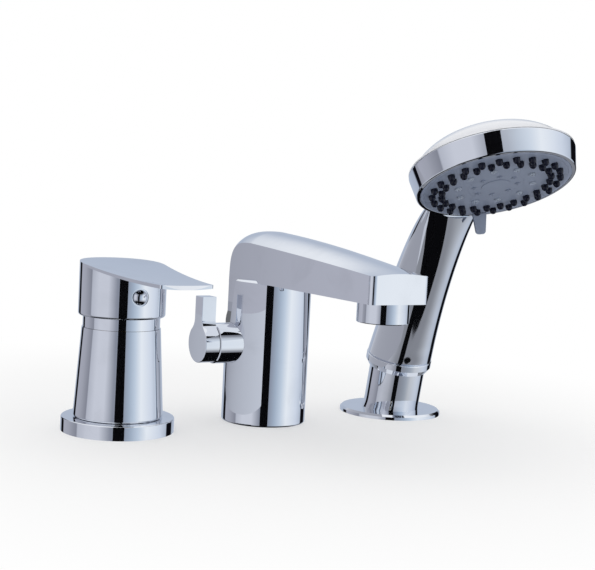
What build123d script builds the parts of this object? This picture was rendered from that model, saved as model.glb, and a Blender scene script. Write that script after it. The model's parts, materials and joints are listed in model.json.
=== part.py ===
from build123d import *
import math
import os

# Bath mixer set for the rim of a tub: a single-lever mixer, a spout with a diverter
# and a holder with a hand shower, standing in one row. Millimetres, +Z up.
# The origin is on the spout's axis in the plane of the rim. +X runs along the row
# towards the hand shower, and the spout, the lever and the hand shower point to -Y.

# Row
row_pitch = 94.0
mixer_x = -row_pitch
shower_x = row_pitch

# Clearances
fit_gap = 0.05
slip_gap = 0.3
spare = 5.0
seat_gap = 0.1

# Mixer: base and shroud
escutcheon_r = 31.4
escutcheon_h = 7.8
escutcheon_wall = 2.4
escutcheon_round = 0.7
escutcheon_bore_r = 22.5
mixer_seal_r = 27.0
mixer_seal_w = 3.0
shroud_base_r = 25.0
shroud_top_r = 21.8
shroud_top_z = 57.6
shroud_wall = 1.5

# Mixer: valve body and cartridge
valve_r = 20.0
valve_foot_r = 22.0
valve_foot_h = 6.0
valve_top_z = 62.0
cartridge_r = 17.5
cartridge_wall = 2.5
cartridge_floor = 2.0
cartridge_floor_z = 34.0
cartridge_cap_h = 3.0
cartridge_mouth_r = 14.0
inlet_r = 4.5
inlet_depth = 12.0
inlet_ring = 12.5
stud_r = 3.4
stud_depth = 16.0
port_r = 3.0
port_ring = 9.5
port_seal_h = 1.6
port_seal_w = 1.4
disc_h = 3.0
moving_disc_r = 10.0
moving_disc_recess = 1.2
moving_disc_way_r = 7.0
socket_r = 6.0
socket_bore_r = 3.3
socket_top_z = 46.2
carrier_z = 46.8
carrier_neck_r = 13.6
carrier_top_z = 56.8
slot_half_x = 4.25
slot_half_y = 7.9
stem_side = 8.0
stem_foot_z = 50.0
stem_top_z = 82.0
stem_ball_r = 2.6
stem_ball_z = 44.5
stem_shank_r = 1.9
tilt_pivot_z = 53.0
pin_r = 1.5
pin_half = 12.0
nut_h = 5.0
nut_thread_r = 18.6
nut_bore_r = 15.0
collar_r = 21.3
collar_top_z = 64.8
collar_lip_r = 19.4

# Mixer: lever
cap_r = 24.0
cap_wall = 1.8
cap_bottom_z = 64.0
cap_ceiling_z = 87.0
cap_round = 1.6
lever_low_z = 89.2
lever_low_y = -71.4
lever_hollow_r = 714.0
lever_blank_z = 99.0
lever_reach = 79.0
lever_end_half = 14.8
lever_plate = 3.2
lever_edge_lift = 2.0
lever_corner = 1.5
end_bevel = 2.2
dish_depth = 1.1
dish_half = 22.5
boss_r = 8.0
boss_z = 69.0
plug_z = 76.4
plug_r = 4.2
plug_rise = 1.5
plug_recess_r = 4.9
plug_recess = 0.5
grub_r = 2.5
grub_hex_r = 1.4
grub_hex_h = 2.0

# Spout: outside
column_r = 25.0
column_top_z = 85.0
column_round = 2.5
column_foot_round = 1.2
arm_half = 18.0
arm_reach = 130.0
arm_under_z = 83.6
arm_root_z = 106.0
arm_slope = 0.052
arm_sag = 1.8
arm_root_crown = 7.0
arm_end_crown = 1.4
arm_crown_power = 2.3
arm_corner = 3.0
elbow_y = -8.0
elbow_start = 3.0
elbow_power = 3.6
flat_foot_z = 55.0
flat_run = 9.0
flat_front_y = -4.0
flat_lean = 9.0

# Spout: inside and outlet
inlet_block_r = 20.5
inlet_block_h = 14.0
chamber_r = 15.6
chamber_z = 62.0
chamber_top_z = 90.0
water_r = 6.0
channel_half = 11.0
channel_z = 86.8
channel_top_z = 93.0
supply_r = 9.3
supply_depth = 12.0
shower_port_r = 4.5
shower_port_y = 14.6
shower_way_r = 3.4
shower_way_y = 12.8
fixing_r = 2.5
fixing_y = -14.6
spout_seal_r = 23.6
seal_w = 1.8
seal_h = 1.4
outlet_y = 14.5 - arm_reach
outlet_r = 13.6
outlet_z = 73.0
outlet_thread_r = 12.0
outlet_bore_r = 10.8
outlet_lip_r = 9.2
outlet_lip_h = 1.6
outlet_bevel = 0.4
aerator_h = 11.0
aerator_floor = 1.2
aerator_hole_r = 0.8
aerator_ring = 3.2

# Spout: diverter
knob_z = 47.1
knob_face_x = -46.6
knob_plate = 9.2
knob_r = 11.1
knob_bar_half = 4.3
knob_bar_top = 27.4
knob_flare = 8.0
knob_round = 0.7
hub_r = 11.8
hub_seat_x = -21.5
hub_gap = 0.3
diverter_bore_r = 9.5
diverter_in_x = 10.0
diverter_split_x = -14.0
sleeve_bore_r = 6.0
spindle_r = 3.0
spindle_grip = 6.0
knob_screw_r = 1.5

# Holder
flange_r = 31.8
flange_h = 3.0
flange_bevel = 1.2
holder_lean = 12.6
holder_turn = 7.0
neck_r = 17.3
neck_foot_r = 18.8
neck_foot = 10.0
neck_top = 31.0
shank_r = 13.0
shank_depth = 9.0
hose_way_r = 11.6
hose_turn = 11.5
hose_bend_r = 11.0
hose_bend_h = 14.0
bush_r = 14.6
bush_foot = 17.0
bush_bevel = 0.4
holder_seal_r = 29.5
holder_seal_h = 1.2
union_r = 10.4
union_bore_r = 6.0
union_foot = 13.0
union_bevel = 0.6
washer_h = 2.0

# Hand shower: handle
ring_foot_r = 18.4
ring_r = 20.5
ring_bevel = 3.3
ring_round = 0.6
ring_h = 7.3
ring_spigot_h = 4.2
union_head_r = 12.0
handle_foot_r = 20.2
handle_neck_r = 17.4
handle_neck_depth = 6.2
handle_power = 3.2
handle_wall = 2.0
handle_low_fwd = 19.3
handle_low_z = 64.0
handle_mid_fwd = 31.6
handle_mid_z = 90.2
handle_high_fwd = 46.6
handle_high_z = 115.0
handle_foot_lean = 22.0
handle_neck_lean = 54.0
handle_sections = 9
waterway_r = 3.0
waterway_bore_r = 2.2
waterway_h = 7.4
waterway_slip = 0.2

# Hand shower: head
face_forward = 103.3
face_z = 146.4
face_tilt = 25.2
band_r = 46.7
face_r = band_r - 4.6
lip_r = band_r - 2.4
band_h = 12.75
band_wall = 2.1
back_rise = 17.2
back_ledge_h = 0.8
dome_r = band_r - 4.7
back_wall = 1.8
back_inset = 0.2
back_skirt = 1.8
back_skirt_lean = 0.5
plate_h = 2.6
plate_r = face_r - 2.0
plate_step = 1.0
plate_step_h = 1.9
plate_bore_r = plate_r - 24.5
nozzle_count = 24
nozzle_outer_ring = plate_r - 4.5
nozzle_inner_ring = plate_r - 9.7
nozzle_r = 1.95
nozzle_tip_r = 1.45
nozzle_out = 2.2
nozzle_straight = 0.9
nozzle_hole_r = 0.5
mat_outer_r = nozzle_outer_ring + 2.8
mat_inner_r = nozzle_inner_ring - 2.8
lens_count = 10
lens_ring = mat_inner_r - 6.2
lens_r = 1.9
lens_out = 0.9
lens_round = 0.63
lens_mat_outer_r = mat_inner_r - 1.2
lens_mat_inner_r = mat_inner_r - 11.0
jet_count = 8
jet_ring = plate_bore_r - 3.4
jet_r = 1.4
jet_hole_r = 0.55
jet_out = 0.6
centre_r = plate_bore_r - 7.6
centre_step = 0.3
selector_h = 4.2
selector_bore_r = plate_r + 2 * fit_gap
tab_angle = 160.9
tab_ring = face_r - 1.4
tab_root_w = 8.2
tab_tip_w = 5.4
tab_length = 12.2
tab_t = 2.2
tab_lean = 24.0
tab_round = 1.9
chamber_wall = 2.0
chamber_foot_h = 4.3
chamber_head_h = 11.2
head_chamber_r = face_r - 0.5
partition_r = mat_inner_r - 0.6


def section(x):
    """Upright plane through an axis of the row: local x is the radius, local y is the height."""
    return Plane(origin=(x, 0, 0), x_dir=(1, 0, 0), z_dir=(0, -1, 0))


def upright(x):
    """Vertical axis of a piece of the row."""
    return Axis((x, 0, 0), (0, 0, 1))


def deck(x, height=0.0):
    """Level plane on the axis of a piece of the row."""
    return Plane(origin=(x, 0, height))


# Mixer: escutcheon, a dished ring that hides the hole in the rim
with BuildPart() as mixer_escutcheon:
    with BuildSketch(section(mixer_x)):
        with BuildLine():
            Polyline(
                (escutcheon_bore_r, escutcheon_h),
                (escutcheon_r, escutcheon_h),
                (escutcheon_r, 0),
                (escutcheon_r - escutcheon_wall, 0),
                (escutcheon_r - escutcheon_wall, escutcheon_h - escutcheon_wall),
                (escutcheon_bore_r, escutcheon_h - escutcheon_wall),
                close=True,
            )
        make_face()
    revolve(axis=upright(mixer_x))
    rim = mixer_escutcheon.edges().filter_by(GeomType.CIRCLE).group_by(Axis.Z)[-1]
    fillet(rim.sort_by(SortBy.RADIUS)[-1], escutcheon_round)
mixer_escutcheon.part.label = "mixer_escutcheon"

with BuildPart() as mixer_base_seal:
    with BuildSketch(deck(mixer_x)):
        Circle(mixer_seal_r)
        Circle(mixer_seal_r - mixer_seal_w, mode=Mode.SUBTRACT)
    extrude(amount=escutcheon_h - escutcheon_wall)
mixer_base_seal.part.label = "mixer_base_seal"

# Mixer: tapered shroud over the valve body
with BuildPart() as mixer_shroud:
    with BuildSketch(section(mixer_x)):
        with BuildLine():
            Polyline(
                (shroud_base_r, escutcheon_h),
                (shroud_top_r, shroud_top_z),
                (shroud_top_r - shroud_wall, shroud_top_z),
                (shroud_base_r - shroud_wall, escutcheon_h),
                close=True,
            )
        make_face()
    revolve(axis=upright(mixer_x))
    foot = mixer_shroud.edges().filter_by(GeomType.CIRCLE).group_by(Axis.Z)[0]
    fillet(foot.sort_by(SortBy.RADIUS)[-1], shroud_wall * 0.8)
mixer_shroud.part.label = "mixer_shroud"

# Mixer: brass valve body with two inlets, one outlet and a stud hole from below
nut_foot_z = valve_top_z - nut_h
with BuildPart() as valve_body:
    with BuildSketch(section(mixer_x)):
        with BuildLine():
            Polyline(
                (0, 0),
                (valve_foot_r, 0),
                (valve_foot_r, valve_foot_h),
                (valve_r, valve_foot_h),
                (valve_r, valve_top_z),
                (nut_thread_r, valve_top_z),
                (nut_thread_r, nut_foot_z),
                (cartridge_r + fit_gap, nut_foot_z),
                (cartridge_r + fit_gap, cartridge_floor_z),
                (0, cartridge_floor_z),
                close=True,
            )
        make_face()
    revolve(axis=upright(mixer_x))
    with BuildSketch(deck(mixer_x)):
        with PolarLocations(inlet_ring, 3, start_angle=90):
            Circle(inlet_r)
        Circle(stud_r)
    extrude(amount=inlet_depth, mode=Mode.SUBTRACT)
    with BuildSketch(deck(mixer_x)):
        Circle(stud_r)
    extrude(amount=stud_depth, mode=Mode.SUBTRACT)
    with BuildSketch(deck(mixer_x, inlet_depth)):
        with PolarLocations(port_ring, 3, start_angle=90):
            Circle(port_r)
    extrude(amount=cartridge_floor_z - inlet_depth, mode=Mode.SUBTRACT)
valve_body.part.label = "valve_body"

# Mixer: cartridge, a plastic housing with its seals, two ceramic discs and a stem
housing_floor_z = cartridge_floor_z + port_seal_h
fixed_disc_z = housing_floor_z + cartridge_floor
moving_disc_z = fixed_disc_z + disc_h
cavity_r = cartridge_r - cartridge_wall
with BuildPart() as cartridge_housing:
    with BuildSketch(section(mixer_x)):
        with BuildLine():
            Polyline(
                (0, housing_floor_z),
                (cartridge_r, housing_floor_z),
                (cartridge_r, nut_foot_z),
                (cartridge_mouth_r, nut_foot_z),
                (cartridge_mouth_r, nut_foot_z - cartridge_cap_h),
                (cavity_r, nut_foot_z - cartridge_cap_h),
                (cavity_r, fixed_disc_z),
                (0, fixed_disc_z),
                close=True,
            )
        make_face()
    revolve(axis=upright(mixer_x))
    with BuildSketch(deck(mixer_x, housing_floor_z)):
        with PolarLocations(port_ring, 3, start_angle=90):
            Circle(port_r)
    extrude(amount=cartridge_floor, mode=Mode.SUBTRACT)
cartridge_housing.part.label = "cartridge_housing"

with BuildPart() as cartridge_seals:
    with BuildSketch(deck(mixer_x, cartridge_floor_z)):
        Circle(port_ring + port_r + port_seal_w)
        Circle(port_ring - port_r - port_seal_w, mode=Mode.SUBTRACT)
        with PolarLocations(port_ring, 3, start_angle=90):
            Circle(port_r, mode=Mode.SUBTRACT)
    extrude(amount=port_seal_h)
cartridge_seals.part.label = "cartridge_seals"

with BuildPart() as ceramic_disc_fixed:
    with BuildSketch(deck(mixer_x, fixed_disc_z)):
        Circle(cavity_r - fit_gap)
        with PolarLocations(port_ring, 3, start_angle=90):
            Circle(port_r, mode=Mode.SUBTRACT)
    extrude(amount=disc_h)
ceramic_disc_fixed.part.label = "ceramic_disc_fixed"

# The moving disc has a mixing recess below and a round socket for the stem above
with BuildPart() as ceramic_disc_moving:
    with BuildSketch(deck(mixer_x, moving_disc_z)):
        Circle(moving_disc_r)
    extrude(amount=disc_h)
    with BuildSketch(deck(mixer_x, moving_disc_z)):
        Circle(moving_disc_way_r)
    extrude(amount=moving_disc_recess, mode=Mode.SUBTRACT)
    with BuildSketch(deck(mixer_x, moving_disc_z + disc_h)):
        Circle(socket_r)
    extrude(amount=socket_top_z - moving_disc_z - disc_h)
    with BuildSketch(deck(mixer_x, stem_ball_z - stem_ball_r - slip_gap)):
        Circle(socket_bore_r)
    extrude(amount=socket_top_z, mode=Mode.SUBTRACT)
ceramic_disc_moving.part.label = "ceramic_disc_moving"

with BuildPart() as cartridge_carrier:
    with BuildSketch(deck(mixer_x, carrier_z)):
        Circle(cavity_r - slip_gap)
    extrude(amount=nut_foot_z - cartridge_cap_h - slip_gap - carrier_z)
    with BuildSketch(deck(mixer_x, carrier_z)):
        Circle(carrier_neck_r)
    extrude(amount=carrier_top_z - carrier_z)
    with BuildSketch(deck(mixer_x, carrier_z)):
        Rectangle(2 * slot_half_x, 2 * slot_half_y)
    extrude(amount=carrier_top_z, mode=Mode.SUBTRACT)
    with BuildSketch(Plane(origin=(mixer_x, 0, tilt_pivot_z), x_dir=(0, 1, 0), z_dir=(1, 0, 0))):
        Circle(pin_r + fit_gap)
    extrude(amount=pin_half + fit_gap, both=True, mode=Mode.SUBTRACT)
cartridge_carrier.part.label = "cartridge_carrier"

with BuildPart() as cartridge_stem:
    with BuildSketch(deck(mixer_x, stem_foot_z)):
        Rectangle(stem_side, stem_side)
    extrude(amount=stem_top_z - stem_foot_z)
    with BuildSketch(deck(mixer_x, stem_ball_z)):
        Circle(stem_shank_r)
    extrude(amount=stem_foot_z - stem_ball_z)
    with Locations((mixer_x, 0, stem_ball_z)):
        Sphere(stem_ball_r)
    with BuildSketch(Plane(origin=(mixer_x, 0, tilt_pivot_z), x_dir=(0, 1, 0), z_dir=(1, 0, 0))):
        Circle(pin_r + fit_gap)
    extrude(amount=stem_side, both=True, mode=Mode.SUBTRACT)
cartridge_stem.part.label = "cartridge_stem"

with BuildPart() as stem_pin:
    with BuildSketch(Plane(origin=(mixer_x, 0, tilt_pivot_z), x_dir=(0, 1, 0), z_dir=(1, 0, 0))):
        Circle(pin_r)
    extrude(amount=pin_half, both=True)
stem_pin.part.label = "stem_pin"

with BuildPart() as cartridge_nut:
    with BuildSketch(deck(mixer_x, nut_foot_z)):
        Circle(nut_thread_r - fit_gap)
        Circle(nut_bore_r, mode=Mode.SUBTRACT)
    extrude(amount=nut_h)
cartridge_nut.part.label = "cartridge_nut"

with BuildPart() as mixer_collar:
    with BuildSketch(section(mixer_x)):
        with BuildLine():
            Polyline(
                (valve_r + fit_gap, shroud_top_z + seat_gap),
                (collar_r, shroud_top_z + seat_gap),
                (collar_r, collar_top_z),
                (collar_lip_r, collar_top_z),
                (collar_lip_r, valve_top_z),
                (valve_r + fit_gap, valve_top_z),
                close=True,
            )
        make_face()
    revolve(axis=upright(mixer_x))
mixer_collar.part.label = "mixer_collar"

# Mixer: lever, a round cap with a flat wing that tapers to a straight end. Its top is gently
# hollow both along and across: a patch of a ring whose middle is far above the lever.
tangent_turn = math.atan2(-lever_reach, lever_end_half)
tangent_turn += math.acos(cap_r / math.hypot(lever_reach, lever_end_half))
wing_x = cap_r * math.cos(tangent_turn)
wing_y = cap_r * math.sin(tangent_turn)
wing_span = cap_r + lever_plate
dish_radius = (dish_half**2 + dish_depth**2) / (2 * dish_depth)
dish_edge = dish_radius - dish_depth - math.sqrt(dish_radius**2 - wing_span**2)
under_edge = lever_edge_lift * (wing_span / cap_r) ** 2 - lever_plate
bevel_radius = (lever_end_half**2 + end_bevel**2) / (2 * end_bevel)
hollow_axis = Axis((mixer_x, lever_low_y, lever_low_z + lever_hollow_r), (1, 0, 0))
hollow_start = -math.asin((lever_reach + lever_plate + lever_low_y) / lever_hollow_r)
hollow_end = math.asin((cap_r + lever_plate - lever_low_y) / lever_hollow_r)
hollow_leaf = Plane(
    origin=(
        mixer_x,
        lever_low_y + lever_hollow_r * math.sin(hollow_start),
        lever_low_z + lever_hollow_r * (1 - math.cos(hollow_start)),
    ),
    x_dir=(1, 0, 0),
    z_dir=(0, -math.cos(hollow_start), -math.sin(hollow_start)),
)
cap_front = Plane(origin=(mixer_x, 0, plug_z), x_dir=(1, 0, 0), z_dir=(0, -1, 0))
with BuildPart() as lever_handle:
    with BuildSketch(deck(mixer_x, cap_ceiling_z - lever_plate)) as wing_plan:
        with BuildLine():
            Polyline(
                (wing_x, wing_y),
                (lever_end_half, -lever_reach),
                (-lever_end_half, -lever_reach),
                (-wing_x, wing_y),
                close=True,
            )
        make_face()
        fillet(wing_plan.vertices().group_by(Axis.Y)[0], lever_corner)
    extrude(amount=lever_blank_z - cap_ceiling_z + lever_plate)
    # Underside of the wing, thinner towards its two sides
    with BuildSketch(hollow_leaf):
        with BuildLine():
            ThreePointArc((-wing_span, under_edge), (0, -lever_plate), (wing_span, under_edge))
            Polyline(
                (wing_span, under_edge),
                (wing_span, -3 * lever_plate),
                (-wing_span, -3 * lever_plate),
                (-wing_span, under_edge),
            )
        make_face()
    revolve(axis=hollow_axis, revolution_arc=math.degrees(hollow_end - hollow_start), mode=Mode.SUBTRACT)
    # The end is bevelled from above along a shallow arc
    bevel_middle = Location((mixer_x, -lever_reach + end_bevel - bevel_radius, lever_low_z - lever_plate))
    with Locations(bevel_middle):
        Cone(
            bevel_radius - end_bevel,
            bevel_radius,
            lever_plate,
            mode=Mode.SUBTRACT,
            align=(Align.CENTER, Align.CENTER, Align.MIN),
        )
    with BuildSketch(deck(mixer_x, cap_bottom_z)):
        Circle(cap_r)
    extrude(amount=lever_blank_z - cap_bottom_z)
    lower_rim = lever_handle.edges().filter_by(GeomType.CIRCLE).group_by(Axis.Z)[0]
    fillet(lower_rim, cap_round)
    # Top of cap and wing, cut in one sweep with a raised rim on either side
    with BuildSketch(hollow_leaf):
        with BuildLine():
            ThreePointArc((-wing_span, dish_edge), (0, -dish_depth), (wing_span, dish_edge))
            Polyline(
                (wing_span, dish_edge),
                (wing_span, lever_blank_z - lever_low_z),
                (-wing_span, lever_blank_z - lever_low_z),
                (-wing_span, dish_edge),
            )
        make_face()
    revolve(axis=hollow_axis, revolution_arc=math.degrees(hollow_end - hollow_start), mode=Mode.SUBTRACT)
    with BuildSketch(deck(mixer_x, cap_bottom_z)):
        Circle(cap_r - cap_wall)
    extrude(amount=cap_ceiling_z - cap_bottom_z, mode=Mode.SUBTRACT)
    with BuildSketch(deck(mixer_x, boss_z)):
        Circle(boss_r)
    extrude(amount=cap_ceiling_z - boss_z)
    with BuildSketch(deck(mixer_x, boss_z)):
        Rectangle(stem_side + 2 * fit_gap, stem_side + 2 * fit_gap)
    extrude(amount=stem_top_z + slip_gap - boss_z, mode=Mode.SUBTRACT)
    # Tapped hole for the grub screw, and the hole for the plug in front of it
    with BuildSketch(cap_front):
        Circle(grub_r)
    extrude(amount=boss_r + 1, mode=Mode.SUBTRACT)
    with BuildSketch(cap_front.offset(cap_r - cap_wall - 1)):
        Circle(plug_r + fit_gap)
    extrude(amount=cap_wall + 2, mode=Mode.SUBTRACT)
    with BuildSketch(cap_front.offset(cap_r - plug_recess - slip_gap)):
        Circle(plug_recess_r)
    extrude(amount=plug_recess + 1, mode=Mode.SUBTRACT)
lever_handle.part.label = "lever_handle"

with BuildPart() as lever_grub_screw:
    with BuildSketch(cap_front.offset(stem_side / 2)):
        Circle(grub_r - fit_gap)
    extrude(amount=boss_r - stem_side / 2)
    with BuildSketch(cap_front.offset(boss_r)):
        RegularPolygon(grub_hex_r, 6)
    extrude(amount=-grub_hex_h, mode=Mode.SUBTRACT)
lever_grub_screw.part.label = "lever_grub_screw"

with BuildPart() as lever_plug:
    with BuildSketch(cap_front.offset(cap_r - cap_wall)):
        Circle(plug_r)
    extrude(amount=cap_wall)
    dome_radius = (plug_r**2 + plug_rise**2) / (2 * plug_rise)
    with Locations(cap_front.offset(cap_r + plug_rise - dome_radius)):
        Sphere(dome_radius)
    with BuildSketch(cap_front.offset(cap_r)):
        Circle(dome_radius * 2)
    extrude(amount=-dome_radius * 3, mode=Mode.SUBTRACT)
    with BuildSketch(cap_front.offset(cap_r - cap_wall)):
        Circle(plug_r)
    extrude(amount=cap_wall)
lever_plug.part.label = "lever_plug"

# Spout: column, elbow and arm in one casting
back_edge_y = math.sqrt(column_r**2 - arm_half**2)
pivot_z = arm_under_z - elbow_start


def squared(turn, first, last):
    """Radius at a turn of a squared quarter that runs from the first radius to the last."""
    across = (math.cos(turn) / first) ** elbow_power
    return (across + (math.sin(turn) / last) ** elbow_power) ** (-1 / elbow_power)


with BuildPart() as spout_body:
    with BuildSketch(section(0)):
        with BuildLine():
            Polyline((0, 0), (column_r, 0), (column_r, column_top_z), (0, column_top_z), close=True)
        make_face()
    revolve(axis=upright(0))
    column_rims = spout_body.edges().filter_by(GeomType.CIRCLE).sort_by(Axis.Z)
    fillet(column_rims[-1], column_round)
    fillet(column_rims[0], column_foot_round)
    with BuildSketch(Plane(origin=(0, 0, pivot_z))):
        with Locations((0, column_r + flat_front_y + 1)):
            Rectangle(2 * column_r + 2, 2 * column_r)
    extrude(amount=column_top_z, mode=Mode.SUBTRACT)
    # Elbow: sections fan out from the back of the column to the start of the arm
    elbow = []
    for turn in (0, 15, 30, 45, 60, 75, 90):
        angle = math.radians(turn)
        fan = Plane(
            origin=(0, elbow_y, pivot_z),
            x_dir=(1, 0, 0),
            z_dir=(0, -math.sin(angle), math.cos(angle)),
        )
        edge = squared(angle, back_edge_y - elbow_y, arm_root_z - pivot_z)
        crown = squared(angle, column_r - elbow_y, arm_root_z + arm_root_crown - pivot_z)
        elbow.append((fan, edge, crown))
    # Arm: the top falls and flattens towards the end
    arm = []
    arm_length = arm_reach + elbow_y
    for part_way in (0, 0.2, 0.4, 0.6, 0.8, 1):
        run = part_way * arm_length
        edge = arm_root_z - arm_slope * run - arm_sag * part_way**2 - pivot_z
        crown = arm_root_crown - (arm_root_crown - arm_end_crown) * part_way**arm_crown_power
        across = Plane(origin=(0, elbow_y - run, pivot_z), x_dir=(1, 0, 0), z_dir=(0, -1, 0))
        arm.append((across, edge, edge + crown))
    for stations in (elbow, arm):
        for plane, edge, crown in stations:
            with BuildSketch(plane):
                with BuildLine():
                    Line((-arm_half, edge), (-arm_half, elbow_start))
                    Line((-arm_half, elbow_start), (arm_half, elbow_start))
                    Line((arm_half, elbow_start), (arm_half, edge))
                    ThreePointArc((arm_half, edge), (0, crown), (-arm_half, edge))
                make_face()
        loft()
    end_edges = spout_body.faces().sort_by(Axis.Y)[0].edges().sort_by(Axis.X)
    fillet([end_edges[0], end_edges[-1]], arm_corner)
    # Flats on both sides of the back, running out of the column at the bottom
    for s in (1, -1):
        with BuildPart(mode=Mode.PRIVATE) as flat_tool:
            with BuildSketch(Plane(origin=(0, column_r, 0), x_dir=(s, 0, 0), z_dir=(0, -s, 0))):
                with BuildLine():
                    Polyline(
                        (arm_half, flat_foot_z + flat_run),
                        (arm_half, column_top_z + spare),
                        (column_r + spare, column_top_z + spare),
                        (column_r + spare, flat_foot_z - flat_run * spare / (column_r - arm_half)),
                        close=True,
                    )
                make_face()
            extrude(amount=2 * column_r, both=True)
            with BuildSketch(Plane.YZ):
                with BuildLine():
                    Polyline(
                        (flat_front_y, column_top_z + spare),
                        (column_r + spare, column_top_z + spare),
                        (column_r + spare, 0),
                        (flat_front_y + (column_top_z + spare) * math.tan(math.radians(flat_lean)), 0),
                        close=True,
                    )
                make_face()
            extrude(amount=2 * column_r, both=True, mode=Mode.INTERSECT)
        add(flat_tool.part, mode=Mode.SUBTRACT)
    # Inside: socket for the inlet block, water ways, a chamber and the channel of the arm
    with BuildSketch(deck(0)):
        Circle(inlet_block_r + fit_gap)
    extrude(amount=inlet_block_h, mode=Mode.SUBTRACT)
    with BuildSketch(deck(0)):
        Circle(spout_seal_r + fit_gap)
        Circle(spout_seal_r - seal_w - fit_gap, mode=Mode.SUBTRACT)
    extrude(amount=seal_h, mode=Mode.SUBTRACT)
    with BuildSketch(deck(0, inlet_block_h)):
        Circle(water_r)
        with Locations((0, shower_way_y)):
            Circle(shower_way_r)
    extrude(amount=knob_z - inlet_block_h, mode=Mode.SUBTRACT)
    with BuildSketch(deck(0, knob_z)):
        Circle(water_r)
    extrude(amount=chamber_z - knob_z, mode=Mode.SUBTRACT)
    with BuildSketch(deck(0, chamber_z)):
        Circle(chamber_r)
    extrude(amount=chamber_top_z - chamber_z, mode=Mode.SUBTRACT)
    with BuildSketch(Plane(origin=(0, 0, channel_z))):
        with Locations((0, outlet_y / 2)):
            Rectangle(2 * channel_half, -outlet_y)
        with Locations((0, outlet_y)):
            Circle(channel_half)
    extrude(amount=channel_top_z - channel_z, mode=Mode.SUBTRACT)
    with BuildSketch(Plane(origin=(0, outlet_y, arm_under_z - 1))):
        Circle(outlet_thread_r + fit_gap)
    extrude(amount=channel_top_z - arm_under_z + 1, mode=Mode.SUBTRACT)
    # Cross bore for the diverter, with a flat seat for its bonnet
    with BuildSketch(Plane(origin=(diverter_in_x + seal_h, 0, knob_z), x_dir=(0, 1, 0), z_dir=(-1, 0, 0))):
        Circle(diverter_bore_r)
    extrude(amount=column_r + 2 * diverter_in_x, mode=Mode.SUBTRACT)
    with BuildSketch(Plane(origin=(hub_seat_x, 0, knob_z), x_dir=(0, 1, 0), z_dir=(-1, 0, 0))):
        Circle(hub_r + fit_gap)
    extrude(amount=column_r, mode=Mode.SUBTRACT)
spout_body.part.label = "spout_body"

# Spout: brass inlet block in the foot of the column
with BuildPart() as spout_inlet_block:
    with BuildSketch(deck(0)):
        Circle(inlet_block_r)
    extrude(amount=inlet_block_h)
    with BuildSketch(deck(0)):
        Circle(supply_r)
        with Locations((0, shower_port_y)):
            Circle(shower_port_r)
        with Locations((0, fixing_y)):
            Circle(fixing_r)
    extrude(amount=supply_depth, mode=Mode.SUBTRACT)
    with BuildSketch(deck(0, supply_depth)):
        Circle(water_r)
        with Locations((0, shower_way_y)):
            Circle(shower_way_r - fit_gap)
    extrude(amount=inlet_block_h - supply_depth, mode=Mode.SUBTRACT)
spout_inlet_block.part.label = "spout_inlet_block"

with BuildPart() as spout_base_seal:
    with BuildSketch(deck(0)):
        Circle(spout_seal_r)
        Circle(spout_seal_r - seal_w, mode=Mode.SUBTRACT)
    extrude(amount=seal_h)
spout_base_seal.part.label = "spout_base_seal"

# Outlet: housing, straightener and washer
with BuildPart() as aerator_housing:
    with BuildSketch(Plane(origin=(0, outlet_y, 0), x_dir=(1, 0, 0), z_dir=(0, -1, 0))):
        with BuildLine():
            Polyline(
                (outlet_lip_r, outlet_z),
                (outlet_r, outlet_z),
                (outlet_r, arm_under_z),
                (outlet_thread_r, arm_under_z),
                (outlet_thread_r, channel_z),
                (outlet_bore_r, channel_z),
                (outlet_bore_r, outlet_z + outlet_lip_h),
                (outlet_lip_r, outlet_z + outlet_lip_h),
                close=True,
            )
        make_face()
    revolve(axis=Axis((0, outlet_y, 0), (0, 0, 1)))
    chamfer(aerator_housing.edges().filter_by(GeomType.CIRCLE).group_by(Axis.Z)[0], outlet_bevel)
aerator_housing.part.label = "aerator_housing"

with BuildPart() as aerator_insert:
    with BuildSketch(Plane(origin=(0, outlet_y, outlet_z + outlet_lip_h))):
        Circle(outlet_bore_r - fit_gap)
    extrude(amount=aerator_h)
    with BuildSketch(Plane(origin=(0, outlet_y, outlet_z + outlet_lip_h + aerator_floor))):
        Circle(outlet_bore_r - aerator_floor)
    extrude(amount=aerator_h, mode=Mode.SUBTRACT)
    with BuildSketch(Plane(origin=(0, outlet_y, outlet_z + outlet_lip_h))):
        Circle(aerator_hole_r)
        with PolarLocations(aerator_ring, 6):
            Circle(aerator_hole_r)
        with PolarLocations(2 * aerator_ring, 12):
            Circle(aerator_hole_r)
    extrude(amount=aerator_floor, mode=Mode.SUBTRACT)
aerator_insert.part.label = "aerator_insert"

with BuildPart() as aerator_washer:
    with BuildSketch(Plane(origin=(0, outlet_y, channel_z))):
        Circle(outlet_thread_r)
        Circle(outlet_thread_r - 3 * seal_w, mode=Mode.SUBTRACT)
    extrude(amount=seal_h)
aerator_washer.part.label = "aerator_washer"

# Diverter: bonnet in the side of the column, sleeve behind it, spindle and knob
knob_back_x = knob_face_x + knob_plate


def cross(x):
    """Upright plane across the diverter's axis, facing away from the column, local y up."""
    return Plane(origin=(x, 0, knob_z), x_dir=(0, -1, 0), z_dir=(-1, 0, 0))


with BuildPart() as diverter_bonnet:
    with BuildSketch(cross(hub_seat_x)):
        Circle(hub_r)
    extrude(amount=hub_seat_x - knob_back_x - hub_gap)
    chamfer(diverter_bonnet.edges().filter_by(GeomType.CIRCLE).sort_by(Axis.X)[0], 0.5)
    with BuildSketch(cross(diverter_split_x)):
        Circle(diverter_bore_r - fit_gap)
    extrude(amount=diverter_split_x - hub_seat_x)
    with BuildSketch(cross(diverter_split_x)):
        Circle(spindle_r + fit_gap)
    extrude(amount=column_r, mode=Mode.SUBTRACT)
diverter_bonnet.part.label = "diverter_bonnet"

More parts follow.
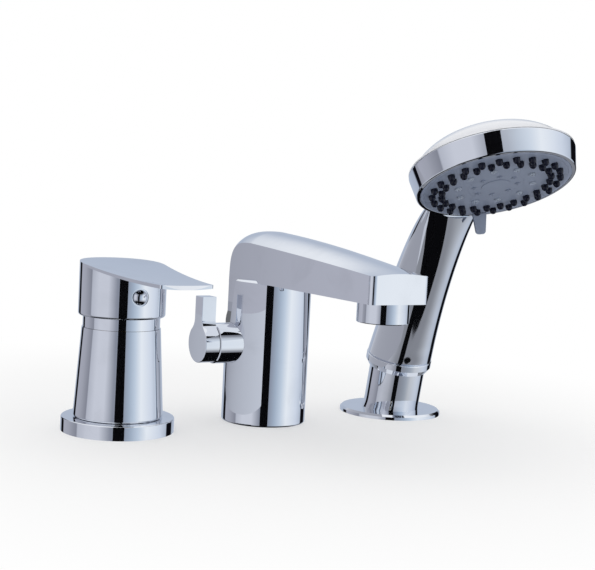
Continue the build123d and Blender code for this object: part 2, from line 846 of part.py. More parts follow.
with BuildPart() as diverter_sleeve:
    with BuildSketch(cross(diverter_in_x)):
        Circle(diverter_bore_r - fit_gap)
        Circle(sleeve_bore_r + fit_gap, mode=Mode.SUBTRACT)
    extrude(amount=diverter_in_x - diverter_split_x)
    with BuildSketch(deck(0, knob_z - diverter_bore_r)):
        Circle(water_r - 1)
    extrude(amount=2 * diverter_bore_r, mode=Mode.SUBTRACT)
    with BuildSketch(Plane(origin=(0, 0, knob_z), x_dir=(1, 0, 0), z_dir=(0, 1, 0))):
        Circle(shower_way_r)
    extrude(amount=diverter_bore_r, mode=Mode.SUBTRACT)
diverter_sleeve.part.label = "diverter_sleeve"

# The spindle's plug has an elbowed way through it that turns the water up or aside
with BuildPart() as diverter_spindle:
    with BuildSketch(cross(diverter_in_x)):
        Circle(sleeve_bore_r)
    extrude(amount=diverter_in_x - diverter_split_x)
    with BuildSketch(cross(diverter_split_x)):
        Circle(spindle_r)
    extrude(amount=diverter_split_x - knob_back_x + spindle_grip)
    with BuildSketch(deck(0, knob_z)):
        Circle(shower_way_r)
    extrude(amount=sleeve_bore_r, both=True, mode=Mode.SUBTRACT)
diverter_spindle.part.label = "diverter_spindle"

with BuildPart() as diverter_seal:
    with BuildSketch(cross(diverter_in_x + seal_h)):
        Circle(diverter_bore_r - fit_gap)
        Circle(sleeve_bore_r - 1, mode=Mode.SUBTRACT)
    extrude(amount=seal_h)
diverter_seal.part.label = "diverter_seal"

# Knob: a disc with a flat bar that flares into it, upright when the water runs to the spout
flare_y = math.sqrt((knob_r + knob_flare) ** 2 - (knob_bar_half + knob_flare) ** 2)
flare_touch = knob_r / (knob_r + knob_flare)
flare_arc = math.degrees(math.asin(flare_y / (knob_r + knob_flare)))
knob_screw_x = knob_back_x - spindle_grip / 2
with BuildPart() as diverter_knob:
    with BuildSketch(cross(knob_back_x)):
        Circle(knob_r)
        with BuildLine():
            Line((-knob_bar_half, flare_y), (-knob_bar_half, knob_bar_top))
            Line((-knob_bar_half, knob_bar_top), (knob_bar_half, knob_bar_top))
            Line((knob_bar_half, knob_bar_top), (knob_bar_half, flare_y))
            CenterArc((knob_bar_half + knob_flare, flare_y), knob_flare, 180, flare_arc)
            Line(
                ((knob_bar_half + knob_flare) * flare_touch, flare_y * flare_touch),
                (-(knob_bar_half + knob_flare) * flare_touch, flare_y * flare_touch),
            )
            CenterArc((-knob_bar_half - knob_flare, flare_y), knob_flare, 0, -flare_arc)
        make_face()
    extrude(amount=knob_plate)
    fillet(diverter_knob.edges().filter_by(Plane.YZ).group_by(Axis.X)[0], knob_round)
    with BuildSketch(cross(knob_back_x)):
        Circle(spindle_r + fit_gap)
    extrude(amount=spindle_grip, mode=Mode.SUBTRACT)
    with BuildSketch(Plane(origin=(knob_screw_x, 0, knob_z), x_dir=(1, 0, 0), z_dir=(0, 0, -1))):
        Circle(knob_screw_r)
    extrude(amount=knob_r + 1, mode=Mode.SUBTRACT)
diverter_knob.part.label = "diverter_knob"

with BuildPart() as knob_screw:
    screw_end = (knob_screw_x, 0, knob_z - spindle_r - fit_gap)
    with BuildSketch(Plane(origin=screw_end, x_dir=(1, 0, 0), z_dir=(0, 0, -1))):
        Circle(knob_screw_r - fit_gap)
    extrude(amount=knob_r - spindle_r - 2)
knob_screw.part.label = "knob_screw"

# Holder: flange with a neck that leans towards the user, all turned a little to the mixer
turn = math.radians(holder_turn)
lean = math.radians(holder_lean)
up = Vector(0, 0, 1)
forward = Vector(-math.sin(turn), -math.cos(turn), 0)
sideways = Vector(math.cos(turn), -math.sin(turn), 0)
shower_foot = Vector(shower_x, 0, 0)
lean_axis = forward * math.sin(lean) + up * math.cos(lean)
lean_leaf = Plane(origin=shower_foot, x_dir=sideways, z_dir=sideways.cross(lean_axis))


def along(distance):
    """Plane across the leaning axis of the holder at a distance from the rim."""
    return Plane(origin=shower_foot + lean_axis * distance, x_dir=sideways, z_dir=lean_axis)


with BuildPart() as holder_body:
    with BuildSketch(lean_leaf):
        with BuildLine():
            neck_curve = Spline(
                (neck_foot_r, 0),
                (neck_r, neck_foot),
                tangents=[(-0.5, 1), (0, 1)],
            )
            Polyline((neck_r, neck_foot), (neck_r, neck_top), (0, neck_top), (0, -neck_foot))
            Polyline((0, -neck_foot), (neck_foot_r, -neck_foot), (neck_foot_r, 0))
        make_face()
    revolve(axis=Axis(shower_foot, lean_axis))
    with BuildSketch(deck(shower_x, -neck_foot_r)):
        Circle(2 * flange_r)
    extrude(amount=neck_foot_r, mode=Mode.SUBTRACT)
    with BuildSketch(section(shower_x)):
        with BuildLine():
            Polyline(
                (0, 0),
                (flange_r, 0),
                (flange_r, flange_h - flange_bevel),
                (flange_r - flange_bevel, flange_h),
                (0, flange_h),
                close=True,
            )
        make_face()
    revolve(axis=upright(shower_x))
    with BuildSketch(along(hose_turn)):
        Circle(hose_way_r)
    extrude(amount=neck_top, mode=Mode.SUBTRACT)
    with BuildSketch(deck(shower_x)):
        Circle(holder_seal_r + fit_gap)
        Circle(holder_seal_r - seal_w - fit_gap, mode=Mode.SUBTRACT)
    extrude(amount=holder_seal_h, mode=Mode.SUBTRACT)
    with BuildSketch(deck(shower_x)):
        Circle(shank_r)
    extrude(amount=shank_depth, mode=Mode.SUBTRACT)
    with BuildSketch(deck(shower_x)):
        Circle(hose_bend_r)
    extrude(amount=hose_bend_h, mode=Mode.SUBTRACT)
    with BuildSketch(along(bush_foot)):
        Circle(bush_r + fit_gap)
    extrude(amount=neck_top, mode=Mode.SUBTRACT)
holder_body.part.label = "holder_body"

with BuildPart() as holder_base_seal:
    with BuildSketch(deck(shower_x)):
        Circle(holder_seal_r)
        Circle(holder_seal_r - seal_w, mode=Mode.SUBTRACT)
    extrude(amount=holder_seal_h)
holder_base_seal.part.label = "holder_base_seal"

with BuildPart() as holder_bush:
    with BuildSketch(along(bush_foot + fit_gap)):
        Circle(bush_r)
        Circle(union_r + fit_gap, mode=Mode.SUBTRACT)
    extrude(amount=neck_top - bush_foot - fit_gap)
    mouth = holder_bush.edges().filter_by(GeomType.CIRCLE).group_by(Axis.Z)[-1]
    chamfer(mouth.sort_by(SortBy.RADIUS)[0], bush_bevel)
holder_bush.part.label = "holder_bush"

# Hand shower: union for the hose, its washer, and the ring that rests on the holder
ring_foot = neck_top + fit_gap
with BuildPart() as handset_union:
    with BuildSketch(along(union_foot)):
        Circle(union_r)
    extrude(amount=ring_foot - union_foot)
    chamfer(handset_union.edges().filter_by(GeomType.CIRCLE).group_by(Axis.Z)[0], union_bevel)
    with BuildSketch(along(ring_foot)):
        Circle(union_head_r - fit_gap)
    extrude(amount=ring_h)
    with BuildSketch(along(union_foot)):
        Circle(union_bore_r)
    extrude(amount=neck_top - union_foot, mode=Mode.SUBTRACT)
    with BuildSketch(along(neck_top)):
        Circle(waterway_bore_r)
    extrude(amount=2 * ring_h, mode=Mode.SUBTRACT)
handset_union.part.label = "handset_union"

with BuildPart() as union_washer:
    with BuildSketch(along(union_foot)):
        Circle(union_bore_r)
        Circle(union_bore_r - 2, mode=Mode.SUBTRACT)
    extrude(amount=washer_h)
union_washer.part.label = "union_washer"

ring_top = ring_foot + ring_h
foot_bore_r = handle_foot_r - handle_wall
with BuildPart() as handset_ring:
    with BuildSketch(lean_leaf):
        with BuildLine():
            Polyline(
                (union_head_r, ring_foot),
                (ring_foot_r, ring_foot),
                (ring_r, ring_foot + ring_bevel),
                (ring_r, ring_top),
                (foot_bore_r - slip_gap * 2, ring_top),
                (foot_bore_r - slip_gap * 2, ring_top + ring_spigot_h),
                (union_head_r, ring_top + ring_spigot_h),
                close=True,
            )
        make_face()
    revolve(axis=Axis(shower_foot, lean_axis))
    fillet(handset_ring.edges().filter_by(GeomType.CIRCLE).sort_by(SortBy.RADIUS)[-1], ring_round)
handset_ring.part.label = "handset_ring"

# Head: a plane on the face of the hand shower, local x away from the handle, z to the back
tilt = math.radians(face_tilt)
head_out = forward * math.cos(tilt) + up * math.sin(tilt)
head_back = up * math.cos(tilt) - forward * math.sin(tilt)
head_origin = shower_foot + forward * face_forward + up * face_z
face = Plane(origin=head_origin, x_dir=head_out, z_dir=head_back)
head_section = Plane(origin=head_origin, x_dir=head_out, z_dir=head_out.cross(head_back))
head_axis = Axis(head_origin, head_back)

# Centre line of the handle from the ring to the middle of the head's band
spine_foot = along(ring_top).origin
spine_low = shower_foot + forward * handle_low_fwd + up * handle_low_z
spine_mid = shower_foot + forward * handle_mid_fwd + up * handle_mid_z
spine_high = shower_foot + forward * handle_high_fwd + up * handle_high_z
spine_neck = face.from_local_coords((chamber_wall - head_chamber_r, 0, band_h / 2))
tube_neck = face.from_local_coords((chamber_wall - head_chamber_r, 0, waterway_h))
foot_lean = math.radians(handle_foot_lean)
neck_lean = math.radians(handle_neck_lean)
foot_way = forward * math.sin(foot_lean) + up * math.cos(foot_lean)
neck_way = forward * math.sin(neck_lean) + up * math.cos(neck_lean)
bend = (spine_foot, spine_low, spine_mid, spine_high)
with BuildLine():
    spine = Spline(*bend, spine_neck, tangents=[foot_way, neck_way])
with BuildLine():
    tube_line = Spline(*bend, tube_neck, tangents=[foot_way, head_out])


def handle_size(part_way, shrink):
    """Half width and half depth of the handle at a fraction of its length."""
    half_width = handle_foot_r + (handle_neck_r - handle_foot_r) * min(part_way * 2, 1)
    half_depth = handle_neck_depth + (half_width - handle_neck_depth) * (1 - part_way**handle_power)
    return half_width - shrink, half_depth * 0.999 - shrink


with BuildPart() as handset_shell:
    for step in range(handle_sections):
        part_way = step / (handle_sections - 1)
        half_width, half_depth = handle_size(part_way, 0)
        way = spine % part_way if step else lean_axis
        with BuildSketch(Plane(origin=spine @ part_way, x_dir=sideways, z_dir=way)):
            Ellipse(half_width, half_depth)
    loft()
    with BuildSketch(head_section):
        with BuildLine():
            Polyline((0, 0), (lip_r, 0), (band_r, band_h), (0, band_h), close=True)
        make_face()
    revolve(axis=head_axis)
    with BuildSketch(head_section):
        with BuildLine():
            Polyline(
                (0, -band_h),
                (face_r + fit_gap, -band_h),
                (face_r + fit_gap, selector_h),
                (band_r - band_wall, band_h),
                (band_r + fit_gap, band_h),
                (band_r + fit_gap, band_h + 3 * back_rise),
                (0, band_h + 3 * back_rise),
                close=True,
            )
        make_face()
    revolve(axis=head_axis, mode=Mode.SUBTRACT)
    for step in range(handle_sections):
        part_way = step / (handle_sections - 1)
        half_width, half_depth = handle_size(part_way, handle_wall)
        way = spine % part_way if step else lean_axis
        with BuildSketch(Plane(origin=spine @ part_way, x_dir=sideways, z_dir=way)):
            Ellipse(half_width, half_depth)
    loft(mode=Mode.SUBTRACT)
handset_shell.part.label = "handset_shell"

# Hand shower: water tube in the handle and the chamber behind the face
with BuildPart() as waterway_tube:
    with BuildSketch(along(ring_top)):
        Circle(waterway_r)
        Circle(waterway_bore_r, mode=Mode.SUBTRACT)
    sweep(path=tube_line)
waterway_tube.part.label = "waterway_tube"

with BuildPart() as spray_chamber:
    with BuildSketch(face.offset(chamber_foot_h)):
        Circle(head_chamber_r)
    extrude(amount=chamber_head_h - chamber_foot_h)
    with BuildSketch(face.offset(chamber_foot_h)):
        Circle(head_chamber_r - chamber_wall)
        Circle(partition_r, mode=Mode.SUBTRACT)
        Circle(partition_r - chamber_wall)
    extrude(amount=chamber_head_h - chamber_foot_h - chamber_wall, mode=Mode.SUBTRACT)
    with BuildSketch(Plane(origin=tube_neck, x_dir=sideways, z_dir=head_out)):
        Circle(waterway_r + waterway_slip)
    extrude(amount=2 * chamber_wall, both=True, mode=Mode.SUBTRACT)
spray_chamber.part.label = "spray_chamber"

with BuildPart() as head_back_cover:
    with BuildSketch(head_section):
        with BuildLine():
            dome_foot_h = band_h + seat_gap + back_ledge_h
            hollow_r = dome_r - back_wall
            dome = []
            hollow = []
            for part_way in (0, 0.35, 0.6, 0.8, 0.92, 1):
                rise = math.sqrt(1 - part_way**2)
                dome.append((dome_r * part_way, dome_foot_h + back_rise * rise))
                hollow.append((hollow_r * part_way, dome_foot_h + (back_rise - back_wall) * rise))
            Spline(dome, tangents=[(1, 0), (0, -1)])
            Spline(hollow, tangents=[(1, 0), (0, -1)])
            skirt_r = band_r - band_wall - 3 * fit_gap
            Polyline(
                dome[-1],
                (band_r - back_inset, dome_foot_h),
                (band_r - back_inset, band_h + seat_gap),
                (skirt_r, band_h + seat_gap),
                (skirt_r - back_skirt_lean, band_h - back_skirt),
                (skirt_r - back_wall, band_h - back_skirt),
                (skirt_r - back_wall, band_h),
                hollow[-1],
            )
            Line(hollow[0], dome[0])
        make_face()
    revolve(axis=head_axis)
head_back_cover.part.label = "head_back_cover"

# Face: plate, two rubber mats whose nozzles poke through it, and the disc in the middle
with BuildPart() as face_plate:
    with BuildSketch(face):
        Circle(plate_r)
        Circle(plate_bore_r, mode=Mode.SUBTRACT)
        with PolarLocations(nozzle_outer_ring, nozzle_count):
            Circle(nozzle_r + fit_gap, mode=Mode.SUBTRACT)
        with PolarLocations(nozzle_inner_ring, nozzle_count, start_angle=180 / nozzle_count):
            Circle(nozzle_r + fit_gap, mode=Mode.SUBTRACT)
        with PolarLocations(lens_ring, lens_count):
            Circle(lens_r + fit_gap, mode=Mode.SUBTRACT)
    extrude(amount=plate_h)
    with BuildSketch(face.offset(plate_step_h)):
        Circle(plate_r + 1)
        Circle(plate_r - plate_step, mode=Mode.SUBTRACT)
    extrude(amount=plate_h, mode=Mode.SUBTRACT)
face_plate.part.label = "face_plate"

with BuildPart() as nozzle_mat:
    with BuildSketch(face.offset(plate_h)):
        Circle(mat_outer_r)
        Circle(mat_inner_r, mode=Mode.SUBTRACT)
    extrude(amount=chamber_foot_h - plate_h)
    with BuildSketch(face.offset(plate_h)):
        with PolarLocations(nozzle_outer_ring, nozzle_count):
            Circle(nozzle_r)
        with PolarLocations(nozzle_inner_ring, nozzle_count, start_angle=180 / nozzle_count):
            Circle(nozzle_r)
    extrude(amount=-plate_h - nozzle_straight)
    with BuildSketch(face.offset(-nozzle_straight)):
        with PolarLocations(nozzle_outer_ring, nozzle_count):
            Circle(nozzle_r)
        with PolarLocations(nozzle_inner_ring, nozzle_count, start_angle=180 / nozzle_count):
            Circle(nozzle_r)
    nozzle_end = nozzle_out - nozzle_straight
    extrude(amount=-nozzle_end, taper=math.degrees(math.atan((nozzle_r - nozzle_tip_r) / nozzle_end)))
    with BuildSketch(face.offset(-nozzle_out)):
        with PolarLocations(nozzle_outer_ring, nozzle_count):
            Circle(nozzle_hole_r)
        with PolarLocations(nozzle_inner_ring, nozzle_count, start_angle=180 / nozzle_count):
            Circle(nozzle_hole_r)
    extrude(amount=nozzle_out + chamber_foot_h, mode=Mode.SUBTRACT)
nozzle_mat.part.label = "nozzle_mat"

with BuildPart() as mist_mat:
    with BuildSketch(face.offset(plate_h)):
        Circle(lens_mat_outer_r)
        Circle(lens_mat_inner_r, mode=Mode.SUBTRACT)
    extrude(amount=chamber_foot_h - plate_h)
    with BuildSketch(face.offset(plate_h)):
        with PolarLocations(lens_ring, lens_count):
            Circle(lens_r)
    extrude(amount=-plate_h - lens_out)
    lens_rims = mist_mat.edges().filter_by(GeomType.CIRCLE).group_by(Axis(head_origin, head_back))[0]
    fillet(lens_rims, lens_round)
    with BuildSketch(face.offset(-lens_out)):
        with PolarLocations(lens_ring, lens_count):
            Circle(nozzle_hole_r)
    extrude(amount=lens_out + chamber_foot_h, mode=Mode.SUBTRACT)
mist_mat.part.label = "mist_mat"

with BuildPart() as jet_disc:
    with BuildSketch(face):
        Circle(plate_bore_r - fit_gap)
    extrude(amount=chamber_foot_h)
    with BuildSketch(face):
        Circle(centre_r)
    extrude(amount=-centre_step)
    with BuildSketch(face):
        with PolarLocations(jet_ring, jet_count, start_angle=180 / jet_count):
            Circle(jet_r)
    extrude(amount=-jet_out)
    with BuildSketch(face.offset(-jet_out)):
        with PolarLocations(jet_ring, jet_count, start_angle=180 / jet_count):
            Circle(jet_hole_r)
    extrude(amount=jet_out + chamber_foot_h, mode=Mode.SUBTRACT)
jet_disc.part.label = "jet_disc"

# Selector: a thin ring round the face with a tab that hangs down beside the handle
with BuildPart() as selector_ring:
    with BuildSketch(head_section):
        with BuildLine():
            Polyline(
                (selector_bore_r, 0),
                (face_r - fit_gap, 0),
                (face_r - fit_gap, selector_h - seat_gap),
                (selector_bore_r - plate_step, selector_h - seat_gap),
                (selector_bore_r - plate_step, plate_step_h + seat_gap),
                (selector_bore_r, plate_step_h + seat_gap),
                close=True,
            )
        make_face()
    revolve(axis=head_axis)
    tab_turn = math.radians(tab_angle)
    outward = face.from_local_coords((math.cos(tab_turn), math.sin(tab_turn), 0)) - head_origin
    tab_down = outward * math.sin(math.radians(tab_lean)) - head_back * math.cos(math.radians(tab_lean))
    tab_root = head_origin + outward * tab_ring
    across_tab = tab_down.cross(outward)
    with BuildSketch(Plane(origin=tab_root, x_dir=across_tab, z_dir=across_tab.cross(tab_down))):
        with BuildLine():
            Polyline(
                (-tab_tip_w / 2, tab_length),
                (-tab_root_w / 2, 0),
                (tab_root_w / 2, 0),
                (tab_tip_w / 2, tab_length),
                close=True,
            )
        make_face()
        fillet(vertices().group_by(Axis.Y)[-1], tab_round)
    extrude(amount=tab_t / 2, both=True)
selector_ring.part.label = "selector_ring"

os.makedirs("parts", exist_ok=True)
export_step(mixer_escutcheon.part, "parts/mixer_escutcheon.step")
export_step(mixer_base_seal.part, "parts/mixer_base_seal.step")
export_step(mixer_shroud.part, "parts/mixer_shroud.step")
export_step(valve_body.part, "parts/valve_body.step")
export_step(cartridge_housing.part, "parts/cartridge_housing.step")
export_step(cartridge_seals.part, "parts/cartridge_seals.step")
export_step(ceramic_disc_fixed.part, "parts/ceramic_disc_fixed.step")
export_step(ceramic_disc_moving.part, "parts/ceramic_disc_moving.step")
export_step(cartridge_carrier.part, "parts/cartridge_carrier.step")
export_step(cartridge_stem.part, "parts/cartridge_stem.step")
export_step(stem_pin.part, "parts/stem_pin.step")
export_step(cartridge_nut.part, "parts/cartridge_nut.step")
export_step(mixer_collar.part, "parts/mixer_collar.step")
export_step(lever_handle.part, "parts/lever_handle.step")
export_step(lever_grub_screw.part, "parts/lever_grub_screw.step")
export_step(lever_plug.part, "parts/lever_plug.step")
export_step(spout_body.part, "parts/spout_body.step")
export_step(spout_inlet_block.part, "parts/spout_inlet_block.step")
export_step(spout_base_seal.part, "parts/spout_base_seal.step")
export_step(aerator_housing.part, "parts/aerator_housing.step")
export_step(aerator_insert.part, "parts/aerator_insert.step")
export_step(aerator_washer.part, "parts/aerator_washer.step")
export_step(diverter_bonnet.part, "parts/diverter_bonnet.step")
export_step(diverter_sleeve.part, "parts/diverter_sleeve.step")
export_step(diverter_spindle.part, "parts/diverter_spindle.step")
export_step(diverter_seal.part, "parts/diverter_seal.step")
export_step(diverter_knob.part, "parts/diverter_knob.step")
export_step(knob_screw.part, "parts/knob_screw.step")
export_step(holder_body.part, "parts/holder_body.step")
export_step(holder_base_seal.part, "parts/holder_base_seal.step")
export_step(holder_bush.part, "parts/holder_bush.step")
export_step(handset_union.part, "parts/handset_union.step")
export_step(union_washer.part, "parts/union_washer.step")
export_step(handset_ring.part, "parts/handset_ring.step")
export_step(handset_shell.part, "parts/handset_shell.step")
export_step(waterway_tube.part, "parts/waterway_tube.step")
export_step(spray_chamber.part, "parts/spray_chamber.step")
export_step(head_back_cover.part, "parts/head_back_cover.step")
export_step(face_plate.part, "parts/face_plate.step")
export_step(nozzle_mat.part, "parts/nozzle_mat.step")
export_step(mist_mat.part, "parts/mist_mat.step")
export_step(jet_disc.part, "parts/jet_disc.step")
export_step(selector_ring.part, "parts/selector_ring.step")
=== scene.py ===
"""Dresses the bath mixer: chrome mixer, spout and holder, and the hand shower with its spray face."""

import json
import math

import bmesh
import bpy
from mathutils import Matrix, Vector

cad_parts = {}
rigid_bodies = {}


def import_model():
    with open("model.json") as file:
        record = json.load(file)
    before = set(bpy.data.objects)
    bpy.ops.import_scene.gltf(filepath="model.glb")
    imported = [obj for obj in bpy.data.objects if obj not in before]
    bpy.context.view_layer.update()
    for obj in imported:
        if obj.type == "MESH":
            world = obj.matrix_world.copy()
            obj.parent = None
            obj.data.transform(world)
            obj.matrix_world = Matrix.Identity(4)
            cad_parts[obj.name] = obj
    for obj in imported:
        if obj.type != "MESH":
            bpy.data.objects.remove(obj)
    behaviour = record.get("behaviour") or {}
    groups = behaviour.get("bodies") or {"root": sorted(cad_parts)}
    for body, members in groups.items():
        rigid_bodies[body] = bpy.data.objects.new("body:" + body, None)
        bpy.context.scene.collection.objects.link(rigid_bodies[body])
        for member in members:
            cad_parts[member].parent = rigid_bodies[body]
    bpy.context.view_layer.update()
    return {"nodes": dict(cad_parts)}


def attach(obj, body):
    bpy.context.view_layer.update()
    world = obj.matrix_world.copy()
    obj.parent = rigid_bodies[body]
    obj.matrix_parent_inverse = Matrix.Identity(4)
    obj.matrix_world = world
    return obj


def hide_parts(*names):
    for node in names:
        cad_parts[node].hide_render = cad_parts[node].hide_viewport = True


bl_info = {
    "name": "Bath mixer",
    "version": (1, 0, 0),
    "blender": (4, 5, 0),
    "location": "3D View > Sidebar > Bath mixer",
    "description": "Chrome, rubber and spray face of a rim mounted bath mixer, with its studio",
    "category": "Object",
}

MM = 0.001

# Faces that meet at more than this angle keep a sharp edge between them
SHARP_ANGLE = math.radians(35)

for leftover in list(bpy.data.objects):
    bpy.data.objects.remove(leftover, do_unlink=True)

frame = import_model()

# Millimetres between the middles of the three groups, which stand in a row with the spout in the middle
PITCH = 94.0

# The face of the hand shower: its middle, the way away from the handle, sideways, and the way to its back
FACE_MIDDLE = Vector((81.411, -102.530, 146.4)) * MM
FACE_OUT = Vector((-0.110271, -0.898083, 0.425779))
FACE_SIDE = Vector((0.992546, -0.121869, 0.0))
FACE_BACK = Vector((0.051889, 0.422605, 0.904827))
FACE_MATRIX = Matrix.Translation(FACE_MIDDLE) @ Matrix((FACE_OUT, FACE_SIDE, FACE_BACK)).transposed().to_4x4()

# The handle of the hand shower: where its holder stands, the way it leans, and its centre line as the
# control points (forward, up) in millimetres of one smooth curve
HOLDER_FOOT = Vector((PITCH, 0.0, 0.0)) * MM
FORWARD = Vector((-0.121869, -0.992546, 0.0))
UP = Vector((0.0, 0.0, 1.0))
HOLDER_LEAN = math.radians(12.6)
HANDLE_LINE = ((8.37, 37.43), (19.3, 64.48), (27.92, 87.17), (47.55, 122.86), (64.4, 135.1))

# Share of the length over which that line leaves the way of the holder
LEAN_SHARE = 0.15

# The skin of the handle in millimetres: half its width, how much wider it is at the foot and half its
# depth at the head, then the share of the length and the power with which it thins
HALF_WIDTH = 17.4
FOOT_FLARE = 2.8
END_HALF_DEPTH = 6.0
THIN_SHARE = 0.97
THIN_POWER = 3.2

# The middle of the head's wall, where the handle ends: its radius at the face, and how much it widens
# with each millimetre of height
WALL_RADIUS = 43.4 * MM
WALL_LEAN = 0.188

# Panels of the studio wall: degrees from the back of the object towards its right, and colour
BLACK = (0.004, 0.004, 0.006)
PANELS = (
    (-180, (0.42, 0.50, 0.61)),
    (-165, (0.30, 0.34, 0.42)),
    (-140, (0.28, 0.30, 0.36)),
    (-118, (0.66, 0.68, 0.75)),
    (-92, (0.66, 0.68, 0.75)),
    (-71, (0.52, 0.54, 0.61)),
    (-69, (0.27, 0.28, 0.33)),
    (-46, (0.40, 0.41, 0.47)),
    (-24, (0.44, 0.45, 0.52)),
    (-22, BLACK),
    (-8, BLACK),
    (-5, (0.45, 0.50, 0.60)),
    (20, (0.48, 0.54, 0.65)),
    (46, (0.48, 0.54, 0.65)),
    (60, (0.40, 0.44, 0.52)),
    (62, BLACK),
    (86, BLACK),
    (88, (0.50, 0.56, 0.66)),
    (110, (0.72, 0.78, 0.88)),
    (146, (0.92, 0.96, 1.0)),
    (165, (0.60, 0.69, 0.80)),
    (180, (0.42, 0.50, 0.61)),
)

# The studio wall: its radius, its foot and its top in metres
STUDIO_RADIUS = 1.6
STUDIO_LOW = -1.5
STUDIO_HIGH = 1.6

# Black cards: name and corners in metres
CARDS = (
    ("dark_ground", ((-1.6, -1.6, -1.4), (1.6, -1.6, -1.4), (1.6, 1.6, -1.4), (-1.6, 1.6, -1.4))),
    (
        "camera_card",
        ((-0.426, -0.531, -0.9), (-0.206, -0.649, -0.9), (-0.206, -0.649, 1.1), (-0.426, -0.531, 1.1)),
    ),
)

# Glowing grey screens between the groups, seen only in reflections: name, place across, depths, heights, and the
# near colour and far colour of their painted glow
SCREENS = (
    ("screen_arm", -0.055, (-0.075, 0.2), (0.062, 0.112), (0.48, 0.49, 0.56), (0.34, 0.35, 0.40)),
    ("screen_column", -0.055, (-0.075, 0.12), (0.0, 0.062), (0.60, 0.63, 0.70), (0.30, 0.31, 0.36)),
    ("screen_spout", 0.045, (-0.05, 0.2), (0.02, 0.115), (0.36, 0.37, 0.42), (0.62, 0.64, 0.70)),
)

# Area lamps: name, place and size in metres, and share of the lamp power
LAMPS = (
    ("lamp_above", (0.0, -0.2, 1.1), 1.4, 1.0),
    ("lamp_left", (-1.0, -0.7, 0.7), 0.9, 0.5),
)
LAMP_AIM = Vector((0.0, 0.0, 0.08))

# The camera: its place in metres, the way it faces round the object, how far it looks down, its roll and
# its lens in millimetres
CAMERA_PLACE = (-0.3631, -0.6125, 0.1408)
CAMERA_TURN = math.radians(32)
CAMERA_DIP = math.radians(4.73)
CAMERA_ROLL = math.radians(3)
CAMERA_LENS = 72.7


# Node trees


def add_node(tree, kind, place=(0, 0), inputs=None, **values):
    """Adds a node to a tree, sets its properties and then its plain inputs, and gives it back."""
    node = tree.nodes.new(kind)
    node.location = place
    for name, value in values.items():
        setattr(node, name, value)
    for name, value in (inputs or {}).items():
        node.inputs[name].default_value = value
    return node


def new_group(name, inputs, outputs):
    """A shader node group with named inputs (name, kind, default) and outputs (name, kind)."""
    group = bpy.data.node_groups.new(name, "ShaderNodeTree")
    for label, kind, default in inputs:
        group.interface.new_socket(label, in_out="INPUT", socket_type=kind).default_value = default
    for label, kind in outputs:
        group.interface.new_socket(label, in_out="OUTPUT", socket_type=kind)
    way_in = add_node(group, "NodeGroupInput", (-900, 0))
    way_out = add_node(group, "NodeGroupOutput", (900, 0))
    return group, way_in, way_out


def plating_group():
    """Wiped plating: soft smears that change the roughness, and the faint swell of a polished casting."""
    name = "Plating"
    if name in bpy.data.node_groups:
        return bpy.data.node_groups[name]
    group, way_in, way_out = new_group(
        name,
        (
            ("Smear Size", "NodeSocketFloat", 40.0),
            ("Clean Roughness", "NodeSocketFloat", 0.03),
            ("Smear Roughness", "NodeSocketFloat", 0.09),
        ),
        (("Roughness", "NodeSocketFloat"), ("Height", "NodeSocketFloat"), ("Tint", "NodeSocketFloat")),
    )
    link = group.links.new
    place = add_node(group, "ShaderNodeTexCoord", (-900, -240))
    smear = add_node(group, "ShaderNodeTexNoise", (-600, 120), {"Detail": 4.0, "Distortion": 0.6})
    link(place.outputs["Object"], smear.inputs["Vector"])
    link(way_in.outputs["Smear Size"], smear.inputs["Scale"])
    smear_range = {"From Min": 0.5, "From Max": 0.75}
    mask = add_node(group, "ShaderNodeMapRange", (-360, 120), smear_range, interpolation_type="SMOOTHSTEP")
    link(smear.outputs["Fac"], mask.inputs["Value"])
    mix = add_node(group, "ShaderNodeMix", (-60, 120), data_type="FLOAT")
    link(mask.outputs["Result"], mix.inputs["Factor"])
    link(way_in.outputs["Clean Roughness"], mix.inputs["A"])
    link(way_in.outputs["Smear Roughness"], mix.inputs["B"])
    link(mix.outputs["Result"], way_out.inputs["Roughness"])
    swell = add_node(group, "ShaderNodeTexNoise", (-600, -240), {"Scale": 55.0, "Detail": 1.0})
    link(place.outputs["Object"], swell.inputs["Vector"])
    link(swell.outputs["Fac"], way_out.inputs["Height"])
    link(mask.outputs["Result"], way_out.inputs["Tint"])
    return group


